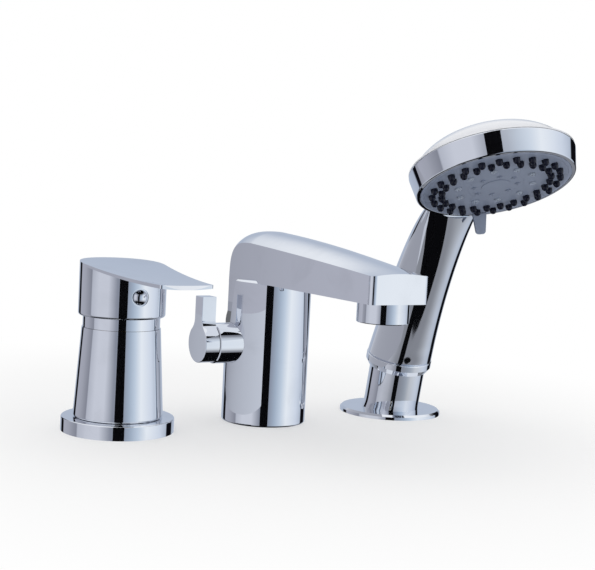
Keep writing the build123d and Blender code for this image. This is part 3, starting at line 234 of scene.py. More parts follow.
def grain_group():
    """Moulding grain: fine speckle, and slow cloudy changes of shade."""
    name = "Grain"
    if name in bpy.data.node_groups:
        return bpy.data.node_groups[name]
    group, way_in, way_out = new_group(
        name,
        (
            ("Colour", "NodeSocketColor", (0.5, 0.5, 0.5, 1.0)),
            ("Shade", "NodeSocketColor", (0.4, 0.4, 0.4, 1.0)),
            ("Grain Size", "NodeSocketFloat", 2500.0),
            ("Cloud Size", "NodeSocketFloat", 60.0),
            ("Roughness", "NodeSocketFloat", 0.5),
            ("Roughness Swing", "NodeSocketFloat", 0.12),
        ),
        (("Colour", "NodeSocketColor"), ("Roughness", "NodeSocketFloat"), ("Height", "NodeSocketFloat")),
    )
    link = group.links.new
    place = add_node(group, "ShaderNodeTexCoord", (-900, -240))
    cloud = add_node(group, "ShaderNodeTexNoise", (-600, 160), {"Detail": 3.0})
    link(place.outputs["Object"], cloud.inputs["Vector"])
    link(way_in.outputs["Cloud Size"], cloud.inputs["Scale"])
    colour = add_node(group, "ShaderNodeMix", (-300, 160), data_type="RGBA")
    link(cloud.outputs["Fac"], colour.inputs["Factor"])
    link(way_in.outputs["Colour"], colour.inputs["A"])
    link(way_in.outputs["Shade"], colour.inputs["B"])
    link(colour.outputs["Result"], way_out.inputs["Colour"])
    swing = add_node(group, "ShaderNodeMath", (-300, -40), operation="MULTIPLY_ADD")
    link(cloud.outputs["Fac"], swing.inputs[0])
    link(way_in.outputs["Roughness Swing"], swing.inputs[1])
    link(way_in.outputs["Roughness"], swing.inputs[2])
    link(swing.outputs["Value"], way_out.inputs["Roughness"])
    speckle = add_node(group, "ShaderNodeTexNoise", (-600, -240), {"Detail": 2.0})
    link(place.outputs["Object"], speckle.inputs["Vector"])
    link(way_in.outputs["Grain Size"], speckle.inputs["Scale"])
    link(speckle.outputs["Fac"], way_out.inputs["Height"])
    return group


def turning_group():
    """Marks of a lathe: fine rings round the upright axis through the piece's middle."""
    name = "Turning"
    if name in bpy.data.node_groups:
        return bpy.data.node_groups[name]
    group, way_in, way_out = new_group(
        name,
        (
            ("Middle", "NodeSocketVector", (0.0, 0.0, 0.0)),
            ("Ring Count", "NodeSocketFloat", 900.0),
            ("Fine Roughness", "NodeSocketFloat", 0.2),
            ("Coarse Roughness", "NodeSocketFloat", 0.38),
        ),
        (("Roughness", "NodeSocketFloat"), ("Height", "NodeSocketFloat"), ("Shade", "NodeSocketFloat")),
    )
    link = group.links.new
    place = add_node(group, "ShaderNodeTexCoord", (-900, -240))
    centred = add_node(group, "ShaderNodeVectorMath", (-700, -100), operation="SUBTRACT")
    link(place.outputs["Object"], centred.inputs[0])
    link(way_in.outputs["Middle"], centred.inputs[1])
    waver = {"Distortion": 0.4, "Detail": 2.0}
    rings = add_node(group, "ShaderNodeTexWave", (-480, 100), waver, wave_type="RINGS", rings_direction="Z")
    link(centred.outputs["Vector"], rings.inputs["Vector"])
    link(way_in.outputs["Ring Count"], rings.inputs["Scale"])
    mix = add_node(group, "ShaderNodeMix", (-160, 100), data_type="FLOAT")
    link(rings.outputs["Fac"], mix.inputs["Factor"])
    link(way_in.outputs["Fine Roughness"], mix.inputs["A"])
    link(way_in.outputs["Coarse Roughness"], mix.inputs["B"])
    link(mix.outputs["Result"], way_out.inputs["Roughness"])
    link(rings.outputs["Fac"], way_out.inputs["Height"])
    link(rings.outputs["Fac"], way_out.inputs["Shade"])
    return group


# Materials


def empty_material(name):
    """A node material with nothing but its output."""
    material = bpy.data.materials.new(name)
    material.use_nodes = True
    tree = material.node_tree
    tree.nodes.clear()
    output = add_node(tree, "ShaderNodeOutputMaterial", (900, 0))
    return material, tree, output


def new_material(name):
    """A node material whose output shows a Principled shader."""
    material, tree, output = empty_material(name)
    shader = add_node(tree, "ShaderNodeBsdfPrincipled", (400, 0))
    tree.links.new(shader.outputs["BSDF"], output.inputs["Surface"])
    return material, tree, shader


def add_bump(tree, shader, height, strength, distance):
    """Joins a height to the shader's normal through a Bump node."""
    bump = add_node(tree, "ShaderNodeBump", (150, -300), {"Strength": strength, "Distance": distance})
    tree.links.new(height, bump.inputs["Height"])
    tree.links.new(bump.outputs["Normal"], shader.inputs["Normal"])


def opaque(colour, share=1.0):
    """A share of a colour's brightness, with its alpha."""
    return (*(part * share for part in colour), 1.0)


def chrome_material(name, colour, clean, smeared):
    """Bright plating with its smears and faint swell."""
    material, tree, shader = new_material(name)
    roughness = {"Clean Roughness": clean, "Smear Roughness": smeared}
    plating = add_node(tree, "ShaderNodeGroup", (-250, 0), roughness, node_tree=plating_group())
    shades = {"A": opaque(colour), "B": opaque(colour, 0.94)}
    tint = add_node(tree, "ShaderNodeMix", (120, 160), shades, data_type="RGBA")
    tree.links.new(plating.outputs["Tint"], tint.inputs["Factor"])
    tree.links.new(tint.outputs["Result"], shader.inputs["Base Color"])
    tree.links.new(plating.outputs["Roughness"], shader.inputs["Roughness"])
    shader.inputs["Metallic"].default_value = 1.0
    add_bump(tree, shader, plating.outputs["Height"], strength=0.02, distance=1.0 * MM)
    return material


def moulded_material(name, colour, shade, roughness, cloud=60.0, bump=0.1, coat=0.0, gloss=0.5):
    """Moulded plastic or rubber: cloudy shade, grain and an even gloss."""
    material, tree, shader = new_material(name)
    look = {"Colour": opaque(colour), "Shade": opaque(shade), "Cloud Size": cloud, "Roughness": roughness}
    moulding = add_node(tree, "ShaderNodeGroup", (-250, 0), look, node_tree=grain_group())
    tree.links.new(moulding.outputs["Colour"], shader.inputs["Base Color"])
    tree.links.new(moulding.outputs["Roughness"], shader.inputs["Roughness"])
    shader.inputs["Specular IOR Level"].default_value = gloss
    shader.inputs["Coat Weight"].default_value = coat
    shader.inputs["Coat Roughness"].default_value = 0.05
    add_bump(tree, shader, moulding.outputs["Height"], strength=bump, distance=0.2 * MM)
    return material


def turned_material(name, colour, shade, middle, fine, coarse):
    """Turned metal with the rings that the tool leaves."""
    material, tree, shader = new_material(name)
    look = {"Middle": middle, "Fine Roughness": fine, "Coarse Roughness": coarse}
    turning = add_node(tree, "ShaderNodeGroup", (-250, 0), look, node_tree=turning_group())
    shades = {"A": opaque(colour), "B": opaque(shade)}
    tint = add_node(tree, "ShaderNodeMix", (120, 160), shades, data_type="RGBA")
    tree.links.new(turning.outputs["Shade"], tint.inputs["Factor"])
    tree.links.new(tint.outputs["Result"], shader.inputs["Base Color"])
    tree.links.new(turning.outputs["Roughness"], shader.inputs["Roughness"])
    shader.inputs["Metallic"].default_value = 1.0
    add_bump(tree, shader, turning.outputs["Height"], strength=0.15, distance=0.1 * MM)
    return material


def translucent_material(name, colour):
    """Clear soft silicone that lets some light through and keeps small highlights."""
    material, tree, shader = new_material(name)
    look = {"Colour": opaque(colour), "Shade": opaque(colour, 0.85), "Grain Size": 900.0, "Roughness": 0.12}
    moulding = add_node(tree, "ShaderNodeGroup", (-250, 0), look, node_tree=grain_group())
    tree.links.new(moulding.outputs["Colour"], shader.inputs["Base Color"])
    tree.links.new(moulding.outputs["Roughness"], shader.inputs["Roughness"])
    shader.inputs["Transmission Weight"].default_value = 0.35
    shader.inputs["IOR"].default_value = 1.42
    shader.inputs["Coat Weight"].default_value = 0.6
    add_bump(tree, shader, moulding.outputs["Height"], strength=0.08, distance=0.2 * MM)
    return material


def dress(node_name, material):
    """Gives a kept CAD node its material, on the object's own slots."""
    node = frame["nodes"][node_name]
    for slot in node.material_slots:
        slot.link = "OBJECT"
        slot.material = material


# Sizes and colours that a user would change


class BathChromeSettings(bpy.types.PropertyGroup):
    """Looks of the plating."""

    colour: bpy.props.FloatVectorProperty(
        name="Plating colour",
        description="Colour that the chrome gives its reflections",
        subtype="COLOR",
        size=3,
        default=(0.82, 0.84, 0.88),
        min=0.0,
        max=1.0,
    )
    clean: bpy.props.FloatProperty(
        name="Clean roughness",
        description="Roughness of the wiped plating",
        default=0.025,
        min=0.0,
        max=1.0,
    )
    smeared: bpy.props.FloatProperty(
        name="Smeared roughness",
        description="Roughness where water has dried on the plating",
        default=0.06,
        min=0.0,
        max=1.0,
    )


class BathFaceSettings(bpy.types.PropertyGroup):
    """Looks and sizes of the spray face."""

    slate: bpy.props.FloatVectorProperty(
        name="Face colour",
        description="Colour of the moulded spray face",
        subtype="COLOR",
        size=3,
        default=(0.20, 0.235, 0.32),
        min=0.0,
        max=1.0,
    )
    nozzle_colour: bpy.props.FloatVectorProperty(
        name="Nozzle colour",
        description="Colour of the rubber nozzles",
        subtype="COLOR",
        size=3,
        default=(0.004, 0.005, 0.016),
        min=0.0,
        max=1.0,
    )
    nozzle_count: bpy.props.IntProperty(
        name="Nozzles in a ring",
        description="Nozzles in each of the two rings",
        default=24,
        min=6,
        max=48,
    )
    nozzle_radius: bpy.props.FloatProperty(
        name="Nozzle radius",
        description="Radius of a nozzle where it leaves the face",
        default=1.95 * MM,
        unit="LENGTH",
        min=0.0005,
        max=0.004,
    )
    nozzle_height: bpy.props.FloatProperty(
        name="Nozzle height",
        description="How far a nozzle stands out of the face",
        default=3.2 * MM,
        unit="LENGTH",
        min=0.0005,
        max=0.004,
    )


class BathStageSettings(bpy.types.PropertyGroup):
    """The studio."""

    wall: bpy.props.FloatProperty(
        name="Wall brightness",
        description="Brightness of the panels that the chrome reflects",
        default=1.0,
        min=0.0,
        max=3.0,
    )
    lamp: bpy.props.FloatProperty(
        name="Lamp power",
        description="Power of the large soft lamp above, in watts",
        default=2.0,
        min=0.0,
        max=100.0,
    )


# Geometry Nodes


def new_geometry_tree(name, inputs):
    """A Geometry Nodes tree with a geometry input and output, and named inputs for its sizes."""
    tree = bpy.data.node_groups.new(name, "GeometryNodeTree")
    tree.interface.new_socket("Geometry", in_out="INPUT", socket_type="NodeSocketGeometry")
    for label, kind, default in inputs:
        socket = tree.interface.new_socket(label, in_out="INPUT", socket_type=kind)
        if default is not None:
            socket.default_value = default
    tree.interface.new_socket("Geometry", in_out="OUTPUT", socket_type="NodeSocketGeometry")
    way_in = add_node(tree, "NodeGroupInput", (-900, 0))
    way_out = add_node(tree, "NodeGroupOutput", (900, 0))
    return tree, way_in, way_out


def ring_tree():
    """Copies a small shape round two rings, the second a half step on, and gives all of it one material."""
    name = "Rings of copies"
    if name in bpy.data.node_groups:
        return bpy.data.node_groups[name]
    tree, way_in, way_out = new_geometry_tree(
        name,
        (
            ("Count", "NodeSocketInt", 24),
            ("Outer Radius", "NodeSocketFloat", 0.03),
            ("Inner Radius", "NodeSocketFloat", 0.02),
            ("Half Step", "NodeSocketFloat", 0.0),
            ("Material", "NodeSocketMaterial", None),
        ),
    )
    link = tree.links.new
    join = add_node(tree, "GeometryNodeJoinGeometry", (200, 0))
    for label, height in (("Outer Radius", 200), ("Inner Radius", -200)):
        circle = add_node(tree, "GeometryNodeMeshCircle", (-600, height), fill_type="NONE")
        link(way_in.outputs["Count"], circle.inputs["Vertices"])
        link(way_in.outputs[label], circle.inputs["Radius"])
        points = add_node(tree, "GeometryNodeInstanceOnPoints", (-200, height))
        link(way_in.outputs["Geometry"], points.inputs["Instance"])
        if label == "Inner Radius":
            turn = add_node(tree, "GeometryNodeTransform", (-400, height))
            spin = add_node(tree, "ShaderNodeCombineXYZ", (-600, height - 160))
            link(way_in.outputs["Half Step"], spin.inputs["Z"])
            link(spin.outputs["Vector"], turn.inputs["Rotation"])
            link(circle.outputs["Mesh"], turn.inputs["Geometry"])
            link(turn.outputs["Geometry"], points.inputs["Points"])
        else:
            link(circle.outputs["Mesh"], points.inputs["Points"])
        link(points.outputs["Instances"], join.inputs["Geometry"])
    realize = add_node(tree, "GeometryNodeRealizeInstances", (400, 0))
    paint = add_node(tree, "GeometryNodeSetMaterial", (600, 0))
    link(join.outputs["Geometry"], realize.inputs["Geometry"])
    link(realize.outputs["Geometry"], paint.inputs["Geometry"])
    link(way_in.outputs["Material"], paint.inputs["Material"])
    link(paint.outputs["Geometry"], way_out.inputs["Geometry"])
    return tree


def set_inputs(modifier, values):
    """Sets a Geometry Nodes modifier's inputs by the identifier of each named socket."""
    for item in modifier.node_group.interface.items_tree:
        if item.item_type == "SOCKET" and item.in_out == "INPUT" and item.name in values:
            modifier[item.identifier] = values[item.name]


def settle(obj):
    """Turns what the modifiers give into a plain mesh, and removes them."""
    graph = bpy.context.evaluated_depsgraph_get()
    mesh = bpy.data.meshes.new_from_object(obj.evaluated_get(graph))
    old = obj.data
    obj.modifiers.clear()
    obj.data = mesh
    bpy.data.meshes.remove(old)
    return obj


def turned_mesh(profile, steps=48, closed=False):
    """A mesh turned from points (radius, height) round the upright axis."""
    shape = bmesh.new()
    rows = []
    for radius, height in profile:
        if radius < 1e-9:
            rows.append([shape.verts.new((0.0, 0.0, height))])
            continue
        row = []
        for step in range(steps):
            turn = math.tau * step / steps
            row.append(shape.verts.new((radius * math.cos(turn), radius * math.sin(turn), height)))
        rows.append(row)
    pairs = list(zip(rows, rows[1:]))
    if closed:
        pairs.append((rows[-1], rows[0]))
    for first, second in pairs:
        for step in range(steps):
            after = (step + 1) % steps
            if len(first) == 1:
                shape.faces.new((first[0], second[after], second[step]))
            elif len(second) == 1:
                shape.faces.new((first[step], first[after], second[0]))
            else:
                shape.faces.new((first[step], first[after], second[after], second[step]))
    bmesh.ops.recalc_face_normals(shape, faces=shape.faces)
    mesh = bpy.data.meshes.new("turned")
    shape.to_mesh(mesh)
    shape.free()
    return mesh


def round_corner(before, corner, after, radius, steps=5):
    """Points of a rounded corner between two straight runs, with one more close by on each run."""
    before, corner, after = Vector(before), Vector(corner), Vector(after)
    back = (before - corner).normalized()
    on = (after - corner).normalized()
    half = back.angle(on) / 2
    reach = radius / math.tan(half)
    middle = corner + (back + on).normalized() * (radius / math.sin(half))
    start = corner + back * reach - middle
    end = corner + on * reach - middle
    swing = start.angle(end)
    close_by = 0.1 * radius
    points = [corner + back * (reach + close_by)]
    for step in range(steps + 1):
        turn = swing * step / steps
        points.append(middle + (start * math.sin(swing - turn) + end * math.sin(turn)) / math.sin(swing))
    points.append(corner + on * (reach + close_by))
    return points


def line_point(part):
    """Point and way of the handle's centre line at a fraction of its length."""
    points = [Vector(point) for point in HANDLE_LINE]
    while len(points) > 2:
        points = [first.lerp(second, part) for first, second in zip(points, points[1:])]
    place = points[0].lerp(points[1], part)
    way = (points[1] - points[0]).normalized()
    lean = Vector((math.sin(HOLDER_LEAN), math.cos(HOLDER_LEAN)))
    settle_in = min(part / LEAN_SHARE, 1.0)
    way = lean.lerp(way, settle_in * settle_in * (3 - 2 * settle_in)).normalized()
    return place, way


def handle_point(part, turn, shrink):
    """A point of the handle's skin at a fraction of its length and an angle round it."""
    place, way = line_point(part)
    half_width = HALF_WIDTH + FOOT_FLARE * (1 - part) ** 3
    fullness = 1 - min(part / THIN_SHARE, 1.0) ** THIN_POWER
    half_depth = END_HALF_DEPTH + (half_width - END_HALF_DEPTH) * fullness
    across = math.cos(turn) * (half_width - shrink)
    deep = math.sin(turn) * (half_depth - shrink)
    front = FORWARD * way.y - UP * way.x
    centre = FORWARD * place.x + UP * place.y
    return HOLDER_FOOT + (centre + FACE_SIDE * across + front * deep) * MM


def handle_end(turn, shrink):
    """Fraction of the length at which the skin has sunk half way into the head's wall."""
    to_face = FACE_MATRIX.inverted()
    low, high = 0.5, 1.0
    halvings = 24
    for _ in range(halvings):
        part = (low + high) / 2
        local = to_face @ handle_point(part, turn, shrink)
        if math.hypot(local.x, local.y) > WALL_RADIUS + local.z * WALL_LEAN:
            low = part
        else:
            high = part
    return low


def handle_mesh():
    """The hollow handle, from the ring to the head's wall, with its rounded foot."""
    rows, steps = 90, 96
    wall, foot_round, row_height = 2.0, 0.9, 0.9
    shape = bmesh.new()
    loops = []
    for shrink, order in ((0.0, range(rows + 1)), (wall, range(rows, -1, -1))):
        ends = [handle_end(math.tau * step / steps, shrink) for step in range(steps)]
        for row in order:
            loop = []
            for step in range(steps):
                part = ends[step] * row / rows
                sunk = 0.0
                under = foot_round - row * row_height
                if not shrink and under > 0:
                    sunk = foot_round - math.sqrt(foot_round**2 - under**2)
                loop.append(shape.verts.new(handle_point(part, math.tau * step / steps, shrink + sunk)))
            loops.append(loop)
    for first, second in zip(loops, loops[1:] + loops[:1]):
        for step in range(steps):
            after = (step + 1) % steps
            shape.faces.new((first[step], first[after], second[after], second[step]))
    bmesh.ops.recalc_face_normals(shape, faces=shape.faces)
    mesh = bpy.data.meshes.new("handle")
    shape.to_mesh(mesh)
    shape.free()
    return mesh


def joined(first, second):
    """One mesh out of two."""
    shape = bmesh.new()
    shape.from_mesh(first)
    shape.from_mesh(second)
    shape.to_mesh(first)
    shape.free()
    bpy.data.meshes.remove(second)
    return first


def polished_chrome(looks):
    """The one chrome of all the outer metal."""
    name = "polished chrome"
    return bpy.data.materials.get(name) or chrome_material(name, looks.colour, looks.clean, looks.smeared)


def shade(mesh):
    """Makes a mesh smooth but for its sharp edges."""
    mesh.shade_smooth()
    mesh.set_sharp_from_angle(angle=SHARP_ANGLE)


def add_object(name, mesh, material=None, smooth=True):
    """Adds a mesh to the scene as an object at the origin."""
    mesh.name = name
    obj = bpy.data.objects.new(name, mesh)
    bpy.context.scene.collection.objects.link(obj)
    if material:
        mesh.materials.append(material)
    if smooth:
        shade(mesh)
    return obj


# Operators


class BATH_OT_metalwork(bpy.types.Operator):
    """Polished chrome on the mixer, the spout, the knob and the holder"""

    bl_idname = "bath.metalwork"
    bl_label = "Chrome"

    def execute(self, context):
        looks = context.scene.bath_chrome
        chrome = polished_chrome(looks)
        for name in (
            "mixer_escutcheon",
            "mixer_shroud",
            "mixer_collar",
            "lever_handle",
            "spout_body",
            "aerator_housing",
            "diverter_bonnet",
            "diverter_knob",
            "holder_body",
            "handset_ring",
        ):
            dress(name, chrome)
        return {"FINISHED"}


class BATH_OT_lever_button(bpy.types.Operator):
    """Round button that closes the screw hole in the lever's cap"""

    bl_idname = "bath.lever_button"
    bl_label = "Lever button"

    def execute(self, context):
        radius, rise = 4.2, 2.5
        depth, bevel, rim = 3.0, 0.3, 0.6
        dome_steps = 16
        profile = [(0.0, depth), (radius - bevel, depth), (radius, depth - bevel), (radius, rim)]
        for step in range(1, dome_steps):
            turn = math.pi / 2 * step / dome_steps
            profile.append((radius * math.cos(turn), rim - (rise + rim) * math.sin(turn)))
        profile.append((0.0, -rise))
        mesh = turned_mesh([(r * MM, h * MM) for r, h in profile], steps=64)
        screw_hole = Vector((-PITCH, -24.0, 76.4)) * MM
        mesh.transform(Matrix.Translation(screw_hole) @ Matrix.Rotation(-math.pi / 2, 4, "X"))
        button = add_object("lever_button", mesh, polished_chrome(context.scene.bath_chrome))
        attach(button, "lever")
        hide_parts("lever_plug")
        return {"FINISHED"}


class BATH_OT_handset_shell(bpy.types.Operator):
    """Smooth chrome handle and the band round the head of the hand shower"""

    bl_idname = "bath.handset_shell"
    bl_label = "Hand shower shell"

    def execute(self, context):
        inner_edge, face_edge, back_edge = 0.3, 0.7, 0.6
        lip, low_in, low_out = (42.15, 4.2), (42.15, 0.0), (44.3, 0.0)
        high_out, high_in = (46.7, 12.75), (44.6, 12.75)
        profile = [lip]
        profile += round_corner(lip, low_in, low_out, inner_edge)
        profile += round_corner(low_in, low_out, high_out, face_edge)
        profile += round_corner(low_out, high_out, high_in, back_edge)
        profile.append(high_in)
        band = turned_mesh([(r * MM, h * MM) for r, h in profile], steps=192, closed=True)
        band.transform(FACE_MATRIX)
        chrome = polished_chrome(context.scene.bath_chrome)
        shell = add_object("handset_shell_smooth", joined(handle_mesh(), band), chrome)
        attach(shell, "hand_shower")
        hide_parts("handset_shell")
        return {"FINISHED"}


class BATH_OT_inner_parts(bpy.types.Operator):
    """Brass, steel, rubber, plastic and ceramic of the pieces inside"""

    bl_idname = "bath.inner_parts"
    bl_label = "Inner parts"

    def execute(self, context):
        mixer_middle = Vector((-PITCH, 0.0, 0.0)) * MM
        brass = turned_material("turned brass", (0.60, 0.42, 0.17), (0.50, 0.33, 0.12), mixer_middle, 0.22, 0.4)
        steel = turned_material("ground steel", (0.50, 0.50, 0.51), (0.40, 0.40, 0.42), mixer_middle, 0.2, 0.34)
        rubber = moulded_material("black seal rubber", (0.02, 0.02, 0.022), (0.035, 0.035, 0.036), 0.62)
        plastic = moulded_material("moulded ivory plastic", (0.62, 0.60, 0.54), (0.52, 0.50, 0.45), 0.42)
        ceramic = moulded_material("lapped ceramic", (0.82, 0.81, 0.78), (0.74, 0.73, 0.70), 0.12, bump=0.03)
        pieces = {
            brass: ("valve_body", "cartridge_nut", "spout_inlet_block", "handset_union"),
            steel: ("cartridge_stem", "stem_pin", "lever_grub_screw", "diverter_spindle", "knob_screw"),
            rubber: (
                "mixer_base_seal",
                "cartridge_seals",
                "spout_base_seal",
                "aerator_washer",
                "diverter_seal",
                "holder_base_seal",
                "union_washer",
            ),
            plastic: (
                "cartridge_housing",
                "cartridge_carrier",
                "aerator_insert",
                "diverter_sleeve",
                "holder_bush",
                "waterway_tube",
                "spray_chamber",
            ),
            ceramic: ("ceramic_disc_fixed", "ceramic_disc_moving"),
        }
        for material, names in pieces.items():
            for name in names:
                dress(name, material)
        return {"FINISHED"}


class BATH_OT_spray_face(bpy.types.Operator):
    """Slate face, pale back cover, selector and jets of the hand shower"""

    bl_idname = "bath.spray_face"
    bl_label = "Spray face"

    def execute(self, context):
        looks = context.scene.bath_face
        clouded = tuple(part * 1.2 for part in looks.slate)
        pale = tuple(part * 1.35 for part in looks.slate)
        slate = moulded_material("slate blue plastic", looks.slate, clouded, 0.34, cloud=25.0, coat=0.25)
        cover = moulded_material(
            "pale gloss cover", (0.83, 0.84, 0.87), (0.78, 0.79, 0.83), 0.12, bump=0.02, coat=0.8
        )
        mist = translucent_material("clear silicone", (0.46, 0.53, 0.66))
        tab = moulded_material("pale slate plastic", pale, looks.slate, 0.3, cloud=25.0, coat=0.4)
        for name in ("face_plate", "jet_disc"):
            dress(name, slate)
        dress("selector_ring", tab)
        dress("head_back_cover", cover)
        dress("mist_mat", mist)
        return {"FINISHED"}


class BATH_OT_nozzles(bpy.types.Operator):
    """Two rings of domed rubber nozzles on the mat behind the face"""

    bl_idname = "bath.nozzles"
    bl_label = "Nozzles"

    def execute(self, context):
        looks = context.scene.bath_face
        rubber = moulded_material(
            "navy nozzle rubber", looks.nozzle_colour, (0.008, 0.009, 0.02), 0.16, bump=0.05, gloss=0.3
        )
        radius = looks.nozzle_radius
        height = looks.nozzle_height
        hole = 0.5 * MM
        back = 5.0 * MM
        straight, hole_end = 0.35, 0.3
        dome_steps = 8
        profile = [(radius, back), (radius, -height * straight)]
        for step in range(1, dome_steps):
            turn = math.pi / 2 * step / dome_steps
            profile.append((
                hole + (radius - hole) * math.cos(turn),
                -height * straight - height * (1 - straight) * math.sin(turn),
            ))
        profile += [(hole, -height), (hole, -height * hole_end)]
        nozzle = add_object("nozzles", turned_mesh(profile, steps=20))
        rings = nozzle.modifiers.new("rings", "NODES")
        rings.node_group = ring_tree()
        set_inputs(rings, {
            "Count": looks.nozzle_count,
            "Outer Radius": 35.6 * MM,
            "Inner Radius": 30.4 * MM,
            "Half Step": math.pi / looks.nozzle_count,
            "Material": rubber,
        })
        settle(nozzle)
        nozzle.data.transform(FACE_MATRIX)
        shade(nozzle.data)
        inner, outer, low, high = 26.9 * MM, 38.9 * MM, 2.75 * MM, 4.2 * MM
        mat_ring = turned_mesh([(inner, low), (outer, low), (outer, high), (inner, high)], steps=96, closed=True)
        mat_ring.transform(FACE_MATRIX)
        mat = add_object("nozzle_mat_ring", mat_ring, rubber)
        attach(nozzle, "hand_shower")
        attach(mat, "hand_shower")
        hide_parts("nozzle_mat")
        return {"FINISHED"}


class BATH_OT_stage(bpy.types.Operator):
    """White floor, the wall of pale and dark panels that the chrome reflects, lamps and camera"""

    bl_idname = "bath.stage"
    bl_label = "Stage"

    def execute(self, context):
        looks = context.scene.bath_stage
        self.add_floor()
        self.add_wall(looks.wall)
        for card in CARDS:
            self.add_card(*card)
        for screen in SCREENS:
            self.add_screen(*screen)
        self.add_world()
        self.add_lamps(looks.lamp)
        self.add_camera(context)
        context.scene.view_settings.view_transform = "Standard"
        return {"FINISHED"}

    def add_floor(self):
        """A white floor that the reflections of the chrome leave out, as on a raised studio table."""
        shape = bmesh.new()
        bmesh.ops.create_grid(shape, x_segments=2, y_segments=2, size=12.0)
        mesh = bpy.data.meshes.new("floor")
        shape.to_mesh(mesh)
        shape.free()
        floor = add_object("floor", mesh, smooth=False)
        material, tree, shader = new_material("white floor")
        shader.inputs["Base Color"].default_value = opaque((0.97, 0.97, 0.97))
        shader.inputs["Roughness"].default_value = 0.9
        shader.inputs["Specular IOR Level"].default_value = 0.0
        place = add_node(tree, "ShaderNodeTexCoord", (-900, -400))
        reach = add_node(tree, "ShaderNodeVectorMath", (-700, -400), operation="LENGTH")
        fade_range = {"From Min": 0.13, "From Max": 0.36, "To Min": 0.4}
        fade = add_node(tree, "ShaderNodeMapRange", (-500, -400), fade_range, interpolation_type="SMOOTHSTEP")
        rays = add_node(tree, "ShaderNodeLightPath", (-500, -200))
        seen = add_node(tree, "ShaderNodeMath", (-300, -300), operation="MULTIPLY")
        glow = add_node(tree, "ShaderNodeEmission", (0, -400))
        mix = add_node(tree, "ShaderNodeMixShader", (400, -200))
        output = next(node for node in tree.nodes if node.type == "OUTPUT_MATERIAL")
        link = tree.links.new
        link(place.outputs["Object"], reach.inputs[0])
        link(reach.outputs["Value"], fade.inputs["Value"])
        link(fade.outputs["Result"], seen.inputs[0])
        link(rays.outputs["Is Camera Ray"], seen.inputs[1])
        link(seen.outputs["Value"], mix.inputs["Fac"])
        link(shader.outputs["BSDF"], mix.inputs[1])
        link(glow.outputs["Emission"], mix.inputs[2])
        link(mix.outputs["Shader"], output.inputs["Surface"])
        mesh.materials.append(material)
        floor.visible_glossy = False

    def add_wall(self, brightness):
        """A round wall of pale and grey panels with black strips between, seen only in reflections."""
        steps = 128
        shape = bmesh.new()
        rows = []
        for height in (STUDIO_LOW, STUDIO_HIGH):
            rows.append([
                shape.verts.new((
                    STUDIO_RADIUS * math.sin(math.tau * step / steps),
                    STUDIO_RADIUS * math.cos(math.tau * step / steps),
                    height,
                ))
                for step in range(steps)
            ])
        for step in range(steps):
            after = (step + 1) % steps
            shape.faces.new((rows[0][step], rows[0][after], rows[1][after], rows[1][step]))
        shape.faces.new(rows[1])
        mesh = bpy.data.meshes.new("studio_wall")
        shape.to_mesh(mesh)
        shape.free()
        wall = add_object("studio_wall", mesh, self.panel_material(brightness), smooth=False)
        self.hide_but_in_reflections(wall)

    def panel_material(self, brightness):
        """Glow whose colour changes round the wall, paler towards its top and darker towards its foot."""
        material, tree, output = empty_material("studio panels")
        link = tree.links.new
        glow = add_node(tree, "ShaderNodeEmission", (700, 0), {"Strength": brightness})
        place = add_node(tree, "ShaderNodeTexCoord", (-900, 0))
        parts = add_node(tree, "ShaderNodeSeparateXYZ", (-700, 0))
        angle = add_node(tree, "ShaderNodeMath", (-500, 100), operation="ARCTAN2")
        turn = add_node(tree, "ShaderNodeMapRange", (-300, 100), {"From Min": -math.pi, "From Max": math.pi})
        panels = add_node(tree, "ShaderNodeValToRGB", (-60, 100))
        high = {"From Min": 0.6, "From Max": 1.5}
        height = add_node(tree, "ShaderNodeMapRange", (-300, -200), high, interpolation_type="SMOOTHSTEP")
        paler = add_node(tree, "ShaderNodeMix", (300, 0), {"B": opaque((0.95, 0.97, 1.0))}, data_type="RGBA")
        low = {"From Min": -0.4, "From Max": -1.3}
        depth = add_node(tree, "ShaderNodeMapRange", (-300, -500), low, interpolation_type="SMOOTHSTEP")
        darker = add_node(tree, "ShaderNodeMix", (500, 0), {"B": opaque((0.26, 0.27, 0.30))}, data_type="RGBA")
        link(place.outputs["Object"], parts.inputs["Vector"])
        link(parts.outputs["X"], angle.inputs[0])
        link(parts.outputs["Y"], angle.inputs[1])
        link(parts.outputs["Z"], height.inputs["Value"])
        link(angle.outputs["Value"], turn.inputs["Value"])
        link(turn.outputs["Result"], panels.inputs["Fac"])
        link(panels.outputs["Color"], paler.inputs["A"])
        link(height.outputs["Result"], paler.inputs["Factor"])
        ramp = panels.color_ramp
        ramp.interpolation = "LINEAR"
        while len(ramp.elements) > 1:
            ramp.elements.remove(ramp.elements[-1])
        ramp.elements[0].position = 0.0
        ramp.elements[0].color = opaque(PANELS[0][1])
        for degrees, colour in PANELS[1:]:
            element = ramp.elements.new((degrees + 180) / 360)
            element.color = opaque(colour)
        link(parts.outputs["Z"], depth.inputs["Value"])
        link(depth.outputs["Result"], darker.inputs["Factor"])
        link(paler.outputs["Result"], darker.inputs["A"])
        link(darker.outputs["Result"], glow.inputs["Color"])
        link(glow.outputs["Emission"], output.inputs["Surface"])
        return material

